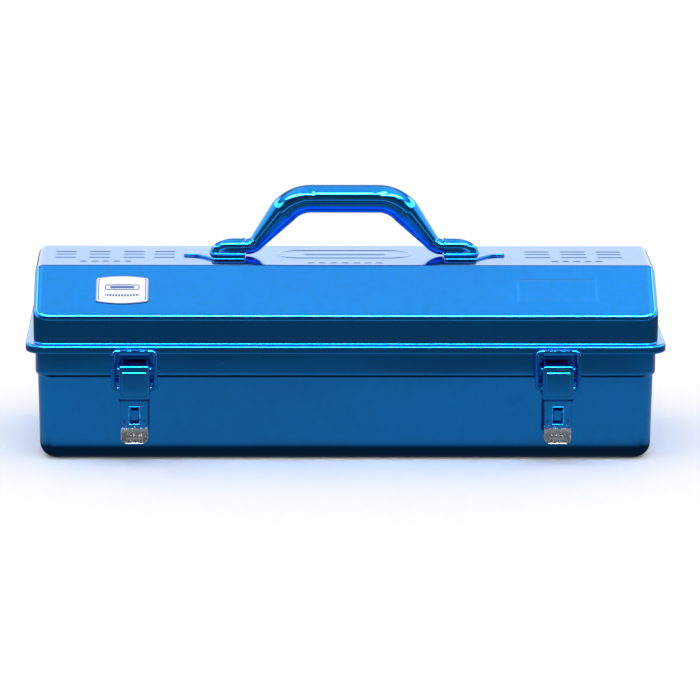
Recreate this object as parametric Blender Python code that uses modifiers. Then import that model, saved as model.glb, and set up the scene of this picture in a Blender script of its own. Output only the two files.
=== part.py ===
"""A camber-top sheet steel tool box: deep-drawn base pan, folded camber lid on two butt hinges, a drop
handle between two bridge brackets, and two draw latches with wire bails.

Metres, +Z up. X runs along the length, the latches are on the -Y side, and the origin is on the floor
under the middle of the pan."""

import math

import bmesh
import bpy
from mathutils import Matrix, Vector

# ---------------------------------------------------------------- driving dimensions
GAP = 0.0003            # daylight kept between pieces that touch on the real box
SHEET = 0.0008          # sheet of pan and lid
RIM_LENGTH = 0.412      # over the lid's rim
RIM_DEPTH = 0.163
RIM_BEYOND_LID = 0.0051     # how far the rim stands out of the lid's wall
RIM_BEYOND_PAN = 0.0061     # how far it stands out of the pan's upper wall

PAN_CORNER = 0.0130     # plan radius of the pan's upper wall
PAN_BOTTOM_RADIUS = 0.0100
PAN_SHOULDER_LOW = 0.0540
PAN_SHOULDER_RISE = 0.0030
PAN_SHOULDER_STEP = 0.0016
PAN_DRAFT = 0.0010      # how much the lower wall leans in, from shoulder to floor radius
PAN_BEAD_RADIUS = 0.0024

RIM_TOP = 0.0767        # top face of the rim flange
RIM_BOTTOM = 0.0711     # lower edge of the hem
RIM_EDGE_RADIUS = 0.0016
RIM_ROOT_RADIUS = 0.0010

LID_CORNER = 0.0100     # plan radius of the lid's wall
LID_END_EDGE = 0.0055   # radius between the end walls and the camber
LID_WALL_TOP = 0.0955   # where wall and slope meet
LID_TOP = 0.1205        # the flat top
LID_FLAT_HALF = 0.0345  # half depth of the flat top
LID_FOLD_RADIUS = 0.0060

PIVOT_ABOVE_TOP = 0.0058    # handle's axis above the lid's flat top
GRIP_ABOVE_PIVOT = 0.0319
GRIP_HALF = 0.0218      # half of the grip's straight length
GRIP_RADIUS = 0.0092
LEG_ANGLE = math.radians(50)
LEG_END_RADIUS = 0.0052
GRIP_BEND = 0.0240
FOOT_BEND = 0.0090
SPIGOT_RADIUS = 0.0039
SPIGOT_LENGTH = 0.0170
LEG_RUN_OUT = 0.0004    # straight end of the leg, before it steps down to the spigot

BRACKET_SHEET = 0.0012
BRACKET_HALF_WIDTH = 0.0190
BRACKET_FLANGE = 0.0215     # length of the wide flange
BRACKET_SHOULDER = 0.0040   # chamfer where the flange steps in to the tongue
BRACKET_TONGUE = 0.0404     # inner edge to the tip of the tongue
BRACKET_WALL = 0.0013       # wall of the bridge round the spigot

HINGE_FROM_MIDDLE = 0.1300
HINGE_WIDTH = 0.0400
HINGE_SHEET = 0.0010
HINGE_PIN_RADIUS = 0.0012
HINGE_BARREL_RADIUS = 0.0027
HINGE_BODY_LEAF = 0.0230    # height of the leaf on the pan's wall
HINGE_LID_LEAF = 0.0095     # height of the leaf on the lid's wall
HINGE_JOGGLE = 0.4      # rise of the lid leaf's slope, as a share of its run
HINGE_HEAD_RADIUS = 0.0022  # the pin's peened ends

LATCH_FROM_MIDDLE = 0.1358
WIRE_RADIUS = 0.0015
BAIL_HALF_WIDTH = 0.01335   # middle of the lever to the middle of a bail leg
BAIL_CORNER = 0.0030
BAR_Z = 0.0737
LEVER_PIVOT_Z = 0.0620
BAIL_PIVOT_Z = 0.0495
OVER_CENTRE = 0.0007    # the lever's pivot stands this far outside the bail's line
LEVER_SHEET = 0.0010
LEVER_HALF_WIDTH = 0.0100
LEVER_TOP_Z = 0.0655
LEVER_FACE_BOTTOM_Z = 0.0427
LEVER_TIP_TOP_Z = 0.0230
LEVER_TIP_BOTTOM_Z = 0.0144
LEVER_FACE_FROM_PIVOT = 0.0042
LEVER_CHEEK_DEPTH = 0.0085
LEVER_RECESS = 0.0018
LEVER_TOP_RADIUS = 0.0015
TIP_HALF_WIDTH = 0.0089
TIP_FLARE = 0.0016
WINDOW_HALF_WIDTH = 0.0034
WINDOW_BOTTOM_Z = 0.0270
WINDOW_TOP_Z = 0.0382
PANEL_HALF_WIDTH = 0.0077
PANEL_BOTTOM_Z = 0.0472
PANEL_TOP_Z = 0.0609
PANEL_RISE = 0.0005
PIN_RADIUS = 0.0014
PIN_HEAD_RADIUS = 0.0024
PIN_HEAD = 0.0008
BASE_SHEET = 0.0011
BASE_BOTTOM_Z = 0.0240
BASE_TOP_Z = 0.0680
EAR_FALL = math.radians(18)     # the ears slope down to the wall, under the lever's face when it is wide open
TAB_HALF_WIDTH = 0.0024
TAB_TOP_Z = 0.0356
TAB_BOTTOM_Z = 0.0292
CATCH_SHEET = 0.0011
CATCH_HALF_WIDTH = 0.0096
CATCH_MOUTH = 0.00175   # free space in front of the bar, which it needs on its way out
CATCH_LIP_ABOVE_BAR = 0.0014
CATCH_STEM_TOP_Z = 0.0755
CATCH_TURN = 0.0020     # outer radius of the hook's two bends

LABEL_WIDTH = 0.0337
LABEL_HEIGHT = 0.0261
LABEL_BULGE = 0.0022
LABEL_THICKNESS = 0.0003
LABEL_X = -0.1440

CORNER_STEPS = 6
SHOULDER_STEPS = 4
WITHIN = 0.9995         # size of the dome's ball, as a share of the bridge's round that it ends
CHEEK_SHARE = 0.98      # width of the bridge's upright cheeks, as a share of its round
TRIM = 0.0010           # how far a cutter runs past what it cuts

# ---------------------------------------------------------------- sizes that follow from them
RIM_HALF_X = RIM_LENGTH / 2
RIM_HALF_Y = RIM_DEPTH / 2
LID_HALF_X = RIM_HALF_X - RIM_BEYOND_LID
LID_HALF_Y = RIM_HALF_Y - RIM_BEYOND_LID
PAN_HALF_X = RIM_HALF_X - RIM_BEYOND_PAN
PAN_HALF_Y = RIM_HALF_Y - RIM_BEYOND_PAN
BEAD_TOP = RIM_TOP - SHEET - GAP
PIVOT_Z = LID_TOP + PIVOT_ABOVE_TOP
GRIP_Z = PIVOT_Z + GRIP_ABOVE_PIVOT
BORE_RADIUS = SPIGOT_RADIUS + GAP
BRIDGE_RADIUS = BORE_RADIUS + BRACKET_WALL
HINGE_Y = RIM_HALF_Y + GAP + HINGE_BARREL_RADIUS
HINGE_Z = RIM_BOTTOM
CATCH_STEM_Y = -(RIM_HALF_Y + GAP)
BAR_Y = CATCH_STEM_Y - CATCH_SHEET - GAP - WIRE_RADIUS
BAIL_PIVOT_Y = BAR_Y
LEVER_PIVOT_Y = BAR_Y - OVER_CENTRE
LEVER_FACE_Y = LEVER_PIVOT_Y - LEVER_FACE_FROM_PIVOT
SLOPE_RUN = LID_HALF_Y - LID_FLAT_HALF
SLOPE_RISE = LID_TOP - LID_WALL_TOP
SLOPE_ANGLE = math.atan2(SLOPE_RISE, SLOPE_RUN)
EAR_RADIUS = LEVER_FACE_FROM_PIVOT - LEVER_SHEET - GAP

BLUE = (0.010, 0.160, 0.480, 1.0)
STEEL = (0.620, 0.640, 0.660, 1.0)
PAPER = (0.900, 0.920, 0.930, 1.0)


# ---------------------------------------------------------------- scene and materials
def clear_scene():
    for obj in list(bpy.data.objects):
        bpy.data.objects.remove(obj, do_unlink=True)


def new_collection(name):
    made = bpy.data.collections.new(name)
    bpy.context.scene.collection.children.link(made)
    return made


def material(name, colour, roughness, metallic):
    made = bpy.data.materials.new(name)
    made.use_nodes = True
    shader = made.node_tree.nodes["Principled BSDF"]
    shader.inputs["Base Color"].default_value = colour
    shader.inputs["Roughness"].default_value = roughness
    shader.inputs["Metallic"].default_value = metallic
    return made


def link(obj, collection):
    for old in list(obj.users_collection):
        old.objects.unlink(obj)
    collection.objects.link(obj)
    return obj


def as_tool(obj):
    """Puts a cutter, or a shape that a Boolean joins on, with the other helpers."""
    link(obj, CUTTERS)
    obj.hide_render = True
    obj.display_type = "WIRE"
    return obj


def as_part(obj, finish, parent=None):
    """Puts a finished sub-part in the tool box's collection, with its own material."""
    link(obj, TOOL_BOX)
    colour, roughness, metallic = finish
    obj.data.materials.clear()
    obj.data.materials.append(material(obj.name + "_finish", colour, roughness, metallic))
    if parent is not None:
        obj.parent = parent
        obj.matrix_parent_inverse = Matrix.Translation(-parent.location)
    return obj


def axis_empty(name, place, collection):
    made = bpy.data.objects.new(name, None)
    made.location = place
    made.empty_display_size = 0.01
    collection.objects.link(made)
    return made


# ---------------------------------------------------------------- shapes
def mesh_object(name, bm):
    mesh = bpy.data.meshes.new(name)
    bm.to_mesh(mesh)
    bm.free()
    return link(bpy.data.objects.new(name, mesh), TOOL_BOX)


def box(name, low, high):
    """A block between two corners."""
    bm = bmesh.new()
    bmesh.ops.create_cube(bm, size=1.0)
    low = Vector(low)
    high = Vector(high)
    bmesh.ops.scale(bm, vec=high - low, verts=bm.verts)
    bmesh.ops.translate(bm, vec=(low + high) / 2, verts=bm.verts)
    return mesh_object(name, bm)


def rod_along_x(name, start, end, radius, y, z, sides=24):
    """A round bar along X."""
    bm = bmesh.new()
    turn = Matrix.Translation(((start + end) / 2, y, z)) @ Matrix.Rotation(math.pi / 2, 4, "Y")
    bmesh.ops.create_cone(
        bm,
        cap_ends=True,
        segments=sides,
        radius1=radius,
        radius2=radius,
        depth=end - start,
        matrix=turn,
    )
    return mesh_object(name, bm)


def ball(name, place, radius):
    bm = bmesh.new()
    bmesh.ops.create_uvsphere(
        bm, u_segments=24, v_segments=16, radius=radius, matrix=Matrix.Translation(place)
    )
    return mesh_object(name, bm)


def combine(obj, tool, operation):
    """A live Boolean of the tool on the piece."""
    modifier = obj.modifiers.new(operation.title(), "BOOLEAN")
    modifier.object = as_tool(tool)
    modifier.operation = operation
    modifier.solver = "EXACT"
    return obj


def solidify(obj, thickness, offset=-1.0):
    modifier = obj.modifiers.new("Solidify", "SOLIDIFY")
    modifier.thickness = thickness
    modifier.offset = offset
    modifier.use_even_offset = True
    modifier.use_quality_normals = True
    return obj


def smooth(obj, angle=35):
    obj.data.shade_smooth()
    obj.data.set_sharp_from_angle(angle=math.radians(angle))
    return obj


def arc(centre, radius, start, end, steps):
    """Points of a circular arc in a plane, from one angle to another in degrees, both ends kept."""
    angles = [math.radians(start + (end - start) * i / steps) for i in range(steps + 1)]
    return [(centre[0] + radius * math.cos(a), centre[1] + radius * math.sin(a)) for a in angles]


def rounded_loop(half_x, half_y, radius, z):
    """A level rectangle with round corners, anticlockwise from the front right corner."""
    points = []
    for corner, (side_x, side_y) in enumerate(((1, -1), (1, 1), (-1, 1), (-1, -1))):
        centre = (side_x * (half_x - radius), side_y * (half_y - radius))
        start = -90 + 90 * corner
        for x, y in arc(centre, radius, start, start + 90, CORNER_STEPS):
            points.append(Vector((x, y, z)))
    return points


def strip_along_x(name, path, x_start, x_end, thickness):
    """A bent strip: an open (y, z) path drawn out along X, with its thickness to the path's right."""
    bm = bmesh.new()
    rows = [[bm.verts.new((x, y, z)) for y, z in path] for x in (x_start, x_end)]
    for i in range(len(path) - 1):
        bm.faces.new((rows[0][i], rows[0][i + 1], rows[1][i + 1], rows[1][i]))
    return solidify(mesh_object(name, bm), thickness)


def slab_along_x(name, outline, x_start, x_end):
    """A solid slab: a closed (y, z) outline drawn out along X."""
    bm = bmesh.new()
    low = [bm.verts.new((x_start, y, z)) for y, z in outline]
    high = [bm.verts.new((x_end, y, z)) for y, z in outline]
    bm.faces.new(low)
    bm.faces.new(list(reversed(high)))
    for i in range(len(outline)):
        j = (i + 1) % len(outline)
        bm.faces.new((low[j], low[i], high[i], high[j]))
    bmesh.ops.recalc_face_normals(bm, faces=bm.faces)
    return mesh_object(name, bm)


def flat_outline(name, points, thickness):
    """A flat plate in its own XY plane, thick to both sides of it."""
    curve = bpy.data.curves.new(name, "CURVE")
    curve.dimensions = "2D"
    curve.fill_mode = "BOTH"
    curve.extrude = thickness / 2
    spline = curve.splines.new("POLY")
    spline.points.add(len(points) - 1)
    for point, (x, y) in zip(spline.points, points):
        point.co = (x, y, 0, 1)
    spline.use_cyclic_u = True
    return link(bpy.data.objects.new(name, curve), TOOL_BOX)


def tube(name, points, radii, sides_level):
    """A round bar along points, with its own radius at each."""
    curve = bpy.data.curves.new(name, "CURVE")
    curve.dimensions = "3D"
    curve.bevel_depth = 1.0
    curve.bevel_resolution = sides_level
    curve.use_fill_caps = True
    spline = curve.splines.new("POLY")
    spline.points.add(len(points) - 1)
    for point, place, radius in zip(spline.points, points, radii):
        point.co = (*place, 1)
        point.radius = radius
    return link(bpy.data.objects.new(name, curve), TOOL_BOX)


def as_mesh(obj):
    """Turns a curve object into a mesh with its caps welded on."""
    bpy.context.view_layer.update()
    evaluated = obj.evaluated_get(bpy.context.evaluated_depsgraph_get())
    mesh = bpy.data.meshes.new_from_object(evaluated)
    bm = bmesh.new()
    bm.from_mesh(mesh)
    bmesh.ops.remove_doubles(bm, verts=bm.verts, dist=0.000001)
    bm.to_mesh(mesh)
    bm.free()
    name = obj.name
    world = obj.matrix_world.copy()
    bpy.data.objects.remove(obj)
    made = bpy.data.objects.new(name, mesh)
    made.matrix_world = world
    return link(made, TOOL_BOX)


# ---------------------------------------------------------------- base pan
def pan_profile():
    """(outward, height) points of the pan's outer face, from the floor up and over the rim bead."""
    foot = -(PAN_SHOULDER_STEP + PAN_DRAFT)
    centre = (foot - PAN_BOTTOM_RADIUS, PAN_BOTTOM_RADIUS)
    points = arc(centre, PAN_BOTTOM_RADIUS, -90, 0, CORNER_STEPS)
    for i in range(SHOULDER_STEPS + 1):
        share = i / SHOULDER_STEPS
        ease = (1 - math.cos(math.pi * share)) / 2
        points.append((-PAN_SHOULDER_STEP * (1 - ease), PAN_SHOULDER_LOW + PAN_SHOULDER_RISE * share))
    inner = PAN_BEAD_RADIUS - SHEET
    points += arc((inner, BEAD_TOP - PAN_BEAD_RADIUS), inner, 180, -40, 8)
    return points


def base_pan():
    bm = bmesh.new()
    loops = []
    for outward, z in pan_profile():
        loop = rounded_loop(PAN_HALF_X + outward, PAN_HALF_Y + outward, PAN_CORNER + outward, z)
        loops.append([bm.verts.new(point) for point in loop])
    bm.faces.new(list(reversed(loops[0])))
    for lower, upper in zip(loops, loops[1:]):
        for i in range(len(lower)):
            j = (i + 1) % len(lower)
            bm.faces.new((lower[i], lower[j], upper[j], upper[i]))
    return as_part(smooth(solidify(mesh_object("base_pan", bm), SHEET)), (BLUE, 0.25, 0.6))


# ---------------------------------------------------------------- lid
def corner_inset(x, half, radius):
    """How far a wall has drawn in at x, where it turns a round corner into the end wall."""
    past = abs(x) - (half - radius)
    if past <= 0:
        return 0.0
    return radius - math.sqrt(max(radius * radius - past * past, 0.0))


def fold(before, at, after, radius, steps):
    """Points of the round that replaces a fold between two straight stretches."""
    before = Vector(before)
    at = Vector(at)
    after = Vector(after)
    to_before = (before - at).normalized()
    to_after = (after - at).normalized()
    half_angle = to_before.angle(to_after) / 2
    reach = radius / math.tan(half_angle)
    centre = at + (to_before + to_after).normalized() * (radius / math.sin(half_angle))
    start = at + to_before * reach - centre
    end = at + to_after * reach - centre
    points = []
    for i in range(steps + 1):
        share = i / steps
        spoke = start.lerp(end, share).normalized() * radius
        points.append(centre + spoke)
    return points


def lid_section(x):
    """(y, z) points across the lid's outer face at x, front foot to back foot."""
    wall_in = corner_inset(x, LID_HALF_X, LID_CORNER)
    camber_in = corner_inset(x, LID_HALF_X, LID_END_EDGE)
    half_y = LID_HALF_Y - wall_in
    top = LID_TOP - camber_in
    lean = Vector((math.cos(SLOPE_ANGLE), math.sin(SLOPE_ANGLE)))
    normal = Vector((-lean.y, lean.x))
    on_slope = Vector((-LID_HALF_Y, LID_WALL_TOP)) - normal * camber_in
    wall_top = on_slope + lean * ((-half_y - on_slope.x) / lean.x)
    flat_edge = on_slope + lean * ((top - on_slope.y) / lean.y)
    foot = Vector((-half_y, RIM_TOP + RIM_ROOT_RADIUS))
    middle = Vector((0.0, top))
    front = [foot]
    front += fold(foot, wall_top, flat_edge, LID_FOLD_RADIUS, 3)
    front += fold(wall_top, flat_edge, middle, LID_FOLD_RADIUS, 3)
    back = [Vector((-point.x, point.y)) for point in reversed(front)]
    return front + back


def rim_profile():
    """(outward, height) points of the rim's outer face, from the root at the lid's wall to the hem's edge."""
    root = (RIM_ROOT_RADIUS, RIM_TOP + RIM_ROOT_RADIUS)
    points = arc(root, RIM_ROOT_RADIUS, 180, 270, 3)[1:]
    edge = (RIM_BEYOND_LID - RIM_EDGE_RADIUS, RIM_TOP - RIM_EDGE_RADIUS)
    points += arc(edge, RIM_EDGE_RADIUS, 90, 0, 4)
    points.append((RIM_BEYOND_LID, RIM_BOTTOM))
    return points


def lid_shell(parent):
    bm = bmesh.new()
    angles = [math.radians(90 * i / CORNER_STEPS) for i in range(CORNER_STEPS + 1)]
    half = [(LID_HALF_X - LID_CORNER + LID_CORNER * math.sin(a), a) for a in angles]
    stations = [(-x, a, -1) for x, a in reversed(half)] + [(x, a, 1) for x, a in half]
    rows = []
    for x, _, _ in stations:
        rows.append([bm.verts.new((x, p.x, p.y)) for p in lid_section(x)])
    for left, right in zip(rows, rows[1:]):
        for j in range(len(left) - 1):
            bm.faces.new((left[j], right[j], right[j + 1], left[j + 1]))
    bm.faces.new(rows[0])
    bm.faces.new(list(reversed(rows[-1])))
    foot_front = [(row[0], side * math.sin(a), -math.cos(a)) for row, (_, a, side) in zip(rows, stations)]
    foot_back = [(row[-1], side * math.sin(a), math.cos(a)) for row, (_, a, side) in zip(rows, stations)]
    foot = foot_front + list(reversed(foot_back))
    ring = [vertex for vertex, _, _ in foot]
    for outward, z in rim_profile():
        following = []
        for vertex, normal_x, normal_y in foot:
            place = (vertex.co.x + outward * normal_x, vertex.co.y + outward * normal_y, z)
            following.append(bm.verts.new(place))
        for i in range(len(ring)):
            j = (i + 1) % len(ring)
            bm.faces.new((ring[j], ring[i], following[i], following[j]))
        ring = following
    return as_part(smooth(solidify(mesh_object("lid_shell", bm), SHEET)), (BLUE, 0.22, 0.6), parent)


def label(parent):
    """A printed plate on the front slope: straight sides, and top and bottom that bow outward."""
    half_width = LABEL_WIDTH / 2
    side = LABEL_HEIGHT / 2 - LABEL_BULGE
    top = []
    for i in range(CORNER_STEPS + 1):
        share = 1 - 2 * i / CORNER_STEPS
        top.append((half_width * share, side + LABEL_BULGE * (1 - share * share)))
    points = top + [(-x, -y) for x, y in top]
    made = flat_outline("label", points, LABEL_THICKNESS)
    stand_off = GAP + LABEL_THICKNESS / 2
    middle_y = -(LID_HALF_Y + LID_FLAT_HALF) / 2 - stand_off * math.sin(SLOPE_ANGLE)
    middle_z = (LID_WALL_TOP + LID_TOP) / 2 + stand_off * math.cos(SLOPE_ANGLE)
    made.location = (LABEL_X, middle_y, middle_z)
    made.rotation_euler = (SLOPE_ANGLE, 0, 0)
    return as_part(as_mesh(made), (PAPER, 0.5, 0.0), parent)


# ---------------------------------------------------------------- handle and its brackets
def handle_half():
    """(x, z, radius) along the right half of the handle, from the middle of the grip to the foot."""
    sine = math.sin(LEG_ANGLE)
    cosine = math.cos(LEG_ANGLE)
    points = [(0.0, GRIP_Z, GRIP_RADIUS), (GRIP_HALF, GRIP_Z, GRIP_RADIUS)]
    for x, z in arc((GRIP_HALF, GRIP_Z - GRIP_BEND), GRIP_BEND, 90, 90 - math.degrees(LEG_ANGLE), 5)[1:]:
        points.append((x, z, GRIP_RADIUS))
    leg_top = Vector(points[-1][:2])
    leg_drop = leg_top.y - (PIVOT_Z + FOOT_BEND * (1 - cosine))
    leg_foot = leg_top + Vector((leg_drop * cosine / sine, -leg_drop))
    for share in (1 / 3, 2 / 3):
        x, z = leg_top.lerp(leg_foot, share)
        points.append((x, z, GRIP_RADIUS + (LEG_END_RADIUS - GRIP_RADIUS) * share))
    foot_centre = (leg_foot.x + FOOT_BEND * sine, PIVOT_Z + FOOT_BEND)
    for x, z in arc(foot_centre, FOOT_BEND, 270 - math.degrees(LEG_ANGLE), 270, 3):
        points.append((x, z, LEG_END_RADIUS))
    return points


def foot_end():
    """X of the handle's shoulder, where the leg ends and the spigot starts."""
    return handle_half()[-1][0] + LEG_RUN_OUT


def handle(parent):
    shoulder = foot_end()
    half = handle_half()
    half.append((shoulder, PIVOT_Z, LEG_END_RADIUS))
    half.append((shoulder + GAP / 2, PIVOT_Z, SPIGOT_RADIUS))
    half.append((shoulder + GAP + SPIGOT_LENGTH, PIVOT_Z, SPIGOT_RADIUS))
    whole = [(-x, z, r) for x, z, r in reversed(half[1:])] + half
    points = [(x, 0.0, z) for x, z, _ in whole]
    made = as_mesh(tube("handle", points, [r for _, _, r in whole], 4))
    return as_part(smooth(made), (BLUE, 0.22, 0.6), parent)


def bracket_outline(side):
    """Plan of the bracket's foot plate: a wide flange that steps in to a leaf-shaped tongue."""
    inner = foot_end() + GAP
    flange = inner + BRACKET_FLANGE
    shoulder = BRACKET_SHOULDER
    front = [
        (inner, -BRACKET_HALF_WIDTH),
        (flange - shoulder, -BRACKET_HALF_WIDTH),
        (flange, -BRACKET_HALF_WIDTH + shoulder),
        (flange + shoulder, -BRACKET_HALF_WIDTH / 2),
        (inner + BRACKET_TONGUE - shoulder, -shoulder),
        (inner + BRACKET_TONGUE, 0.0),
    ]
    back = [(x, -y) for x, y in reversed(front[:-1])]
    return [(side * x, y) for x, y in front + back]


def handle_bracket(name, side, parent):
    inner = foot_end() + 2 * GAP
    dome = inner + BRACKET_FLANGE + BRACKET_SHEET * 2 - BRIDGE_RADIUS
    floor = LID_TOP + GAP
    plate = flat_outline(name, bracket_outline(side), BRACKET_SHEET)
    plate.location = (0, 0, floor + BRACKET_SHEET / 2)
    plate = as_mesh(plate)
    low_x, high_x = sorted((side * inner, side * dome))
    combine(plate, rod_along_x(name + "_bridge", low_x, high_x, BRIDGE_RADIUS, 0, PIVOT_Z), "UNION")
    combine(plate, ball(name + "_dome", (side * dome, 0, PIVOT_Z), BRIDGE_RADIUS * WITHIN), "UNION")
    half_cheek = BRIDGE_RADIUS * CHEEK_SHARE
    low = (low_x, -half_cheek, floor + BRACKET_SHEET / 2)
    high = (high_x, half_cheek, PIVOT_Z)
    combine(plate, box(name + "_cheeks", low, high), "UNION")
    low = (low_x - TRIM, -BRIDGE_RADIUS - TRIM, floor - BRIDGE_RADIUS)
    high = (high_x + BRIDGE_RADIUS + TRIM, BRIDGE_RADIUS + TRIM, floor)
    if side < 0:
        low = (low_x - BRIDGE_RADIUS - TRIM, low[1], low[2])
        high = (high_x + TRIM, high[1], high[2])
    combine(plate, box(name + "_underside", low, high), "DIFFERENCE")
    start = foot_end() - GAP
    end = foot_end() + GAP + SPIGOT_LENGTH + GAP
    bore_low, bore_high = sorted((side * start, side * end))
    combine(plate, rod_along_x(name + "_bore", bore_low, bore_high, BORE_RADIUS, 0, PIVOT_Z), "DIFFERENCE")
    return as_part(smooth(plate), (BLUE, 0.22, 0.6), parent)


# ---------------------------------------------------------------- hinges
def knuckle_spans():
    """X ranges of the three knuckles, from the hinge's middle: body, lid, body."""
    third = HINGE_WIDTH / 3
    return [(-HINGE_WIDTH / 2 + i * third, -HINGE_WIDTH / 2 + (i + 1) * third) for i in range(3)]


def leaf(name, path, middle, notches, bore_radius):
    """A hinge leaf: a bent strip with a barrel, notched where the other leaf's knuckles turn."""
    start = middle - HINGE_WIDTH / 2
    end = middle + HINGE_WIDTH / 2
    made = strip_along_x(name, path, start, end, HINGE_SHEET)
    combine(made, rod_along_x(name + "_barrel", start, end, HINGE_BARREL_RADIUS, HINGE_Y, HINGE_Z), "UNION")
    reach = HINGE_BARREL_RADIUS + GAP
    for i, (low, high) in enumerate(notches):
        corner_low = (middle + low - GAP / 2, HINGE_Y - reach - HINGE_SHEET, HINGE_Z - reach)
        corner_high = (middle + high + GAP / 2, HINGE_Y + reach, HINGE_Z + reach)
        combine(made, box(name + "_notch_%d" % i, corner_low, corner_high), "DIFFERENCE")
    bore = rod_along_x(name + "_bore", start - GAP, end + GAP, bore_radius, HINGE_Y, HINGE_Z)
    return combine(made, bore, "DIFFERENCE")


def hinge(side_name, middle, lid_parent):
    spans = knuckle_spans()
    bore = HINGE_PIN_RADIUS + GAP
    wall = PAN_HALF_Y + GAP
    inner = HINGE_Y - HINGE_BARREL_RADIUS
    bend_z = HINGE_Z - HINGE_BARREL_RADIUS - HINGE_SHEET
    body_path = [
        (inner + HINGE_SHEET, HINGE_Z),
        (inner + HINGE_SHEET, bend_z),
        (wall + HINGE_SHEET, bend_z - (inner - wall)),
        (wall + HINGE_SHEET, bend_z - (inner - wall) - HINGE_BODY_LEAF),
    ]
    name = "hinge_leaf_body_" + side_name
    body_leaf = leaf(name, list(reversed(body_path)), middle, [spans[1]], bore)
    as_part(smooth(body_leaf), (BLUE, 0.25, 0.6))

    lid_wall = LID_HALF_Y + GAP
    over_rim = RIM_TOP + GAP + RIM_EDGE_RADIUS
    joggle_top = over_rim + (inner - lid_wall) * HINGE_JOGGLE
    lid_path = [
        (inner + HINGE_SHEET, HINGE_Z),
        (inner + HINGE_SHEET, over_rim),
        (lid_wall + HINGE_SHEET, joggle_top),
        (lid_wall + HINGE_SHEET, joggle_top + HINGE_LID_LEAF),
    ]
    name = "hinge_leaf_lid_" + side_name
    ends = [(spans[0][0] - TRIM, spans[0][1]), (spans[2][0], spans[2][1] + TRIM)]
    as_part(smooth(leaf(name, lid_path, middle, ends, bore)), (BLUE, 0.25, 0.6), lid_parent)

    reach = HINGE_WIDTH / 2 + GAP
    name = "hinge_pin_" + side_name
    pin = rod_along_x(name, middle - reach, middle + reach, HINGE_PIN_RADIUS, HINGE_Y, HINGE_Z)
    for sign in (-1, 1):
        low, high = sorted((middle + sign * reach, middle + sign * (reach + PIN_HEAD)))
        head_name = pin.name + "_head_%d" % (sign + 1)
        head = rod_along_x(head_name, low, high, HINGE_HEAD_RADIUS, HINGE_Y, HINGE_Z)
        combine(pin, head, "UNION")
    as_part(smooth(pin), (STEEL, 0.3, 0.9))


# ---------------------------------------------------------------- draw latches
def ear_outline(root_y):
    """(y, z) outline of an ear: round about the lever's pin, and sloping down to the back plate."""
    tangent = math.degrees(EAR_FALL)
    round_end = arc((LEVER_PIVOT_Y, LEVER_PIVOT_Z), EAR_RADIUS, 90 - tangent, 270 - tangent, 12)
    slope = math.tan(EAR_FALL)
    top_y, top_z = round_end[0]
    foot_y, foot_z = round_end[-1]
    under = (root_y, foot_z - (root_y - foot_y) * slope)
    over = (root_y, top_z - (root_y - top_y) * slope)
    return round_end + [under, over]


def latch_base(side_name, middle):
    """Back plate on the pan's wall, two ears for the lever's pin, and a tab in the lever's window."""
    name = "latch_base_" + side_name
    back = -(PAN_HALF_Y + GAP)
    ear_out = LEVER_HALF_WIDTH - LEVER_SHEET - GAP
    low = (middle - ear_out, back - BASE_SHEET, BASE_BOTTOM_Z)
    high = (middle + ear_out, back, BASE_TOP_Z)
    plate = box(name, low, high)
    outline = ear_outline(back - BASE_SHEET / 2)
    for sign in (-1, 1):
        low_x, high_x = sorted((middle + sign * ear_out, middle + sign * (ear_out - BASE_SHEET)))
        ear = slab_along_x(name + "_ear_%d" % (sign + 1), outline, low_x, high_x)
        combine(plate, ear, "UNION")
    face = LEVER_FACE_Y + LEVER_RECESS + LEVER_SHEET + GAP
    low = (middle - TAB_HALF_WIDTH, face, TAB_TOP_Z - BASE_SHEET)
    high = (middle + TAB_HALF_WIDTH, back - BASE_SHEET / 2, TAB_TOP_Z)
    combine(plate, box(name + "_tab", low, high), "UNION")
    low = (middle - TAB_HALF_WIDTH, face, TAB_BOTTOM_Z)
    high = (middle + TAB_HALF_WIDTH, face + BASE_SHEET, TAB_TOP_Z - BASE_SHEET / 2)
    combine(plate, box(name + "_tab_face", low, high), "UNION")
    reach = ear_out + GAP
    bore = PIN_RADIUS + GAP
    hole = rod_along_x(name + "_hole", middle - reach, middle + reach, bore, LEVER_PIVOT_Y, LEVER_PIVOT_Z)
    combine(plate, hole, "DIFFERENCE")
    return as_part(plate, (BLUE, 0.25, 0.6))


def lever_pin(side_name, middle):
    name = "lever_pin_" + side_name
    reach = LEVER_HALF_WIDTH + GAP
    pin = rod_along_x(name, middle - reach, middle + reach, PIN_RADIUS, LEVER_PIVOT_Y, LEVER_PIVOT_Z)
    for sign in (-1, 1):
        low, high = sorted((middle + sign * reach, middle + sign * (reach + PIN_HEAD)))
        head_name = name + "_head_%d" % (sign + 1)
        head = rod_along_x(head_name, low, high, PIN_HEAD_RADIUS, LEVER_PIVOT_Y, LEVER_PIVOT_Z)
        combine(pin, head, "UNION")
    return as_part(smooth(pin), (BLUE, 0.25, 0.6))


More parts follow.
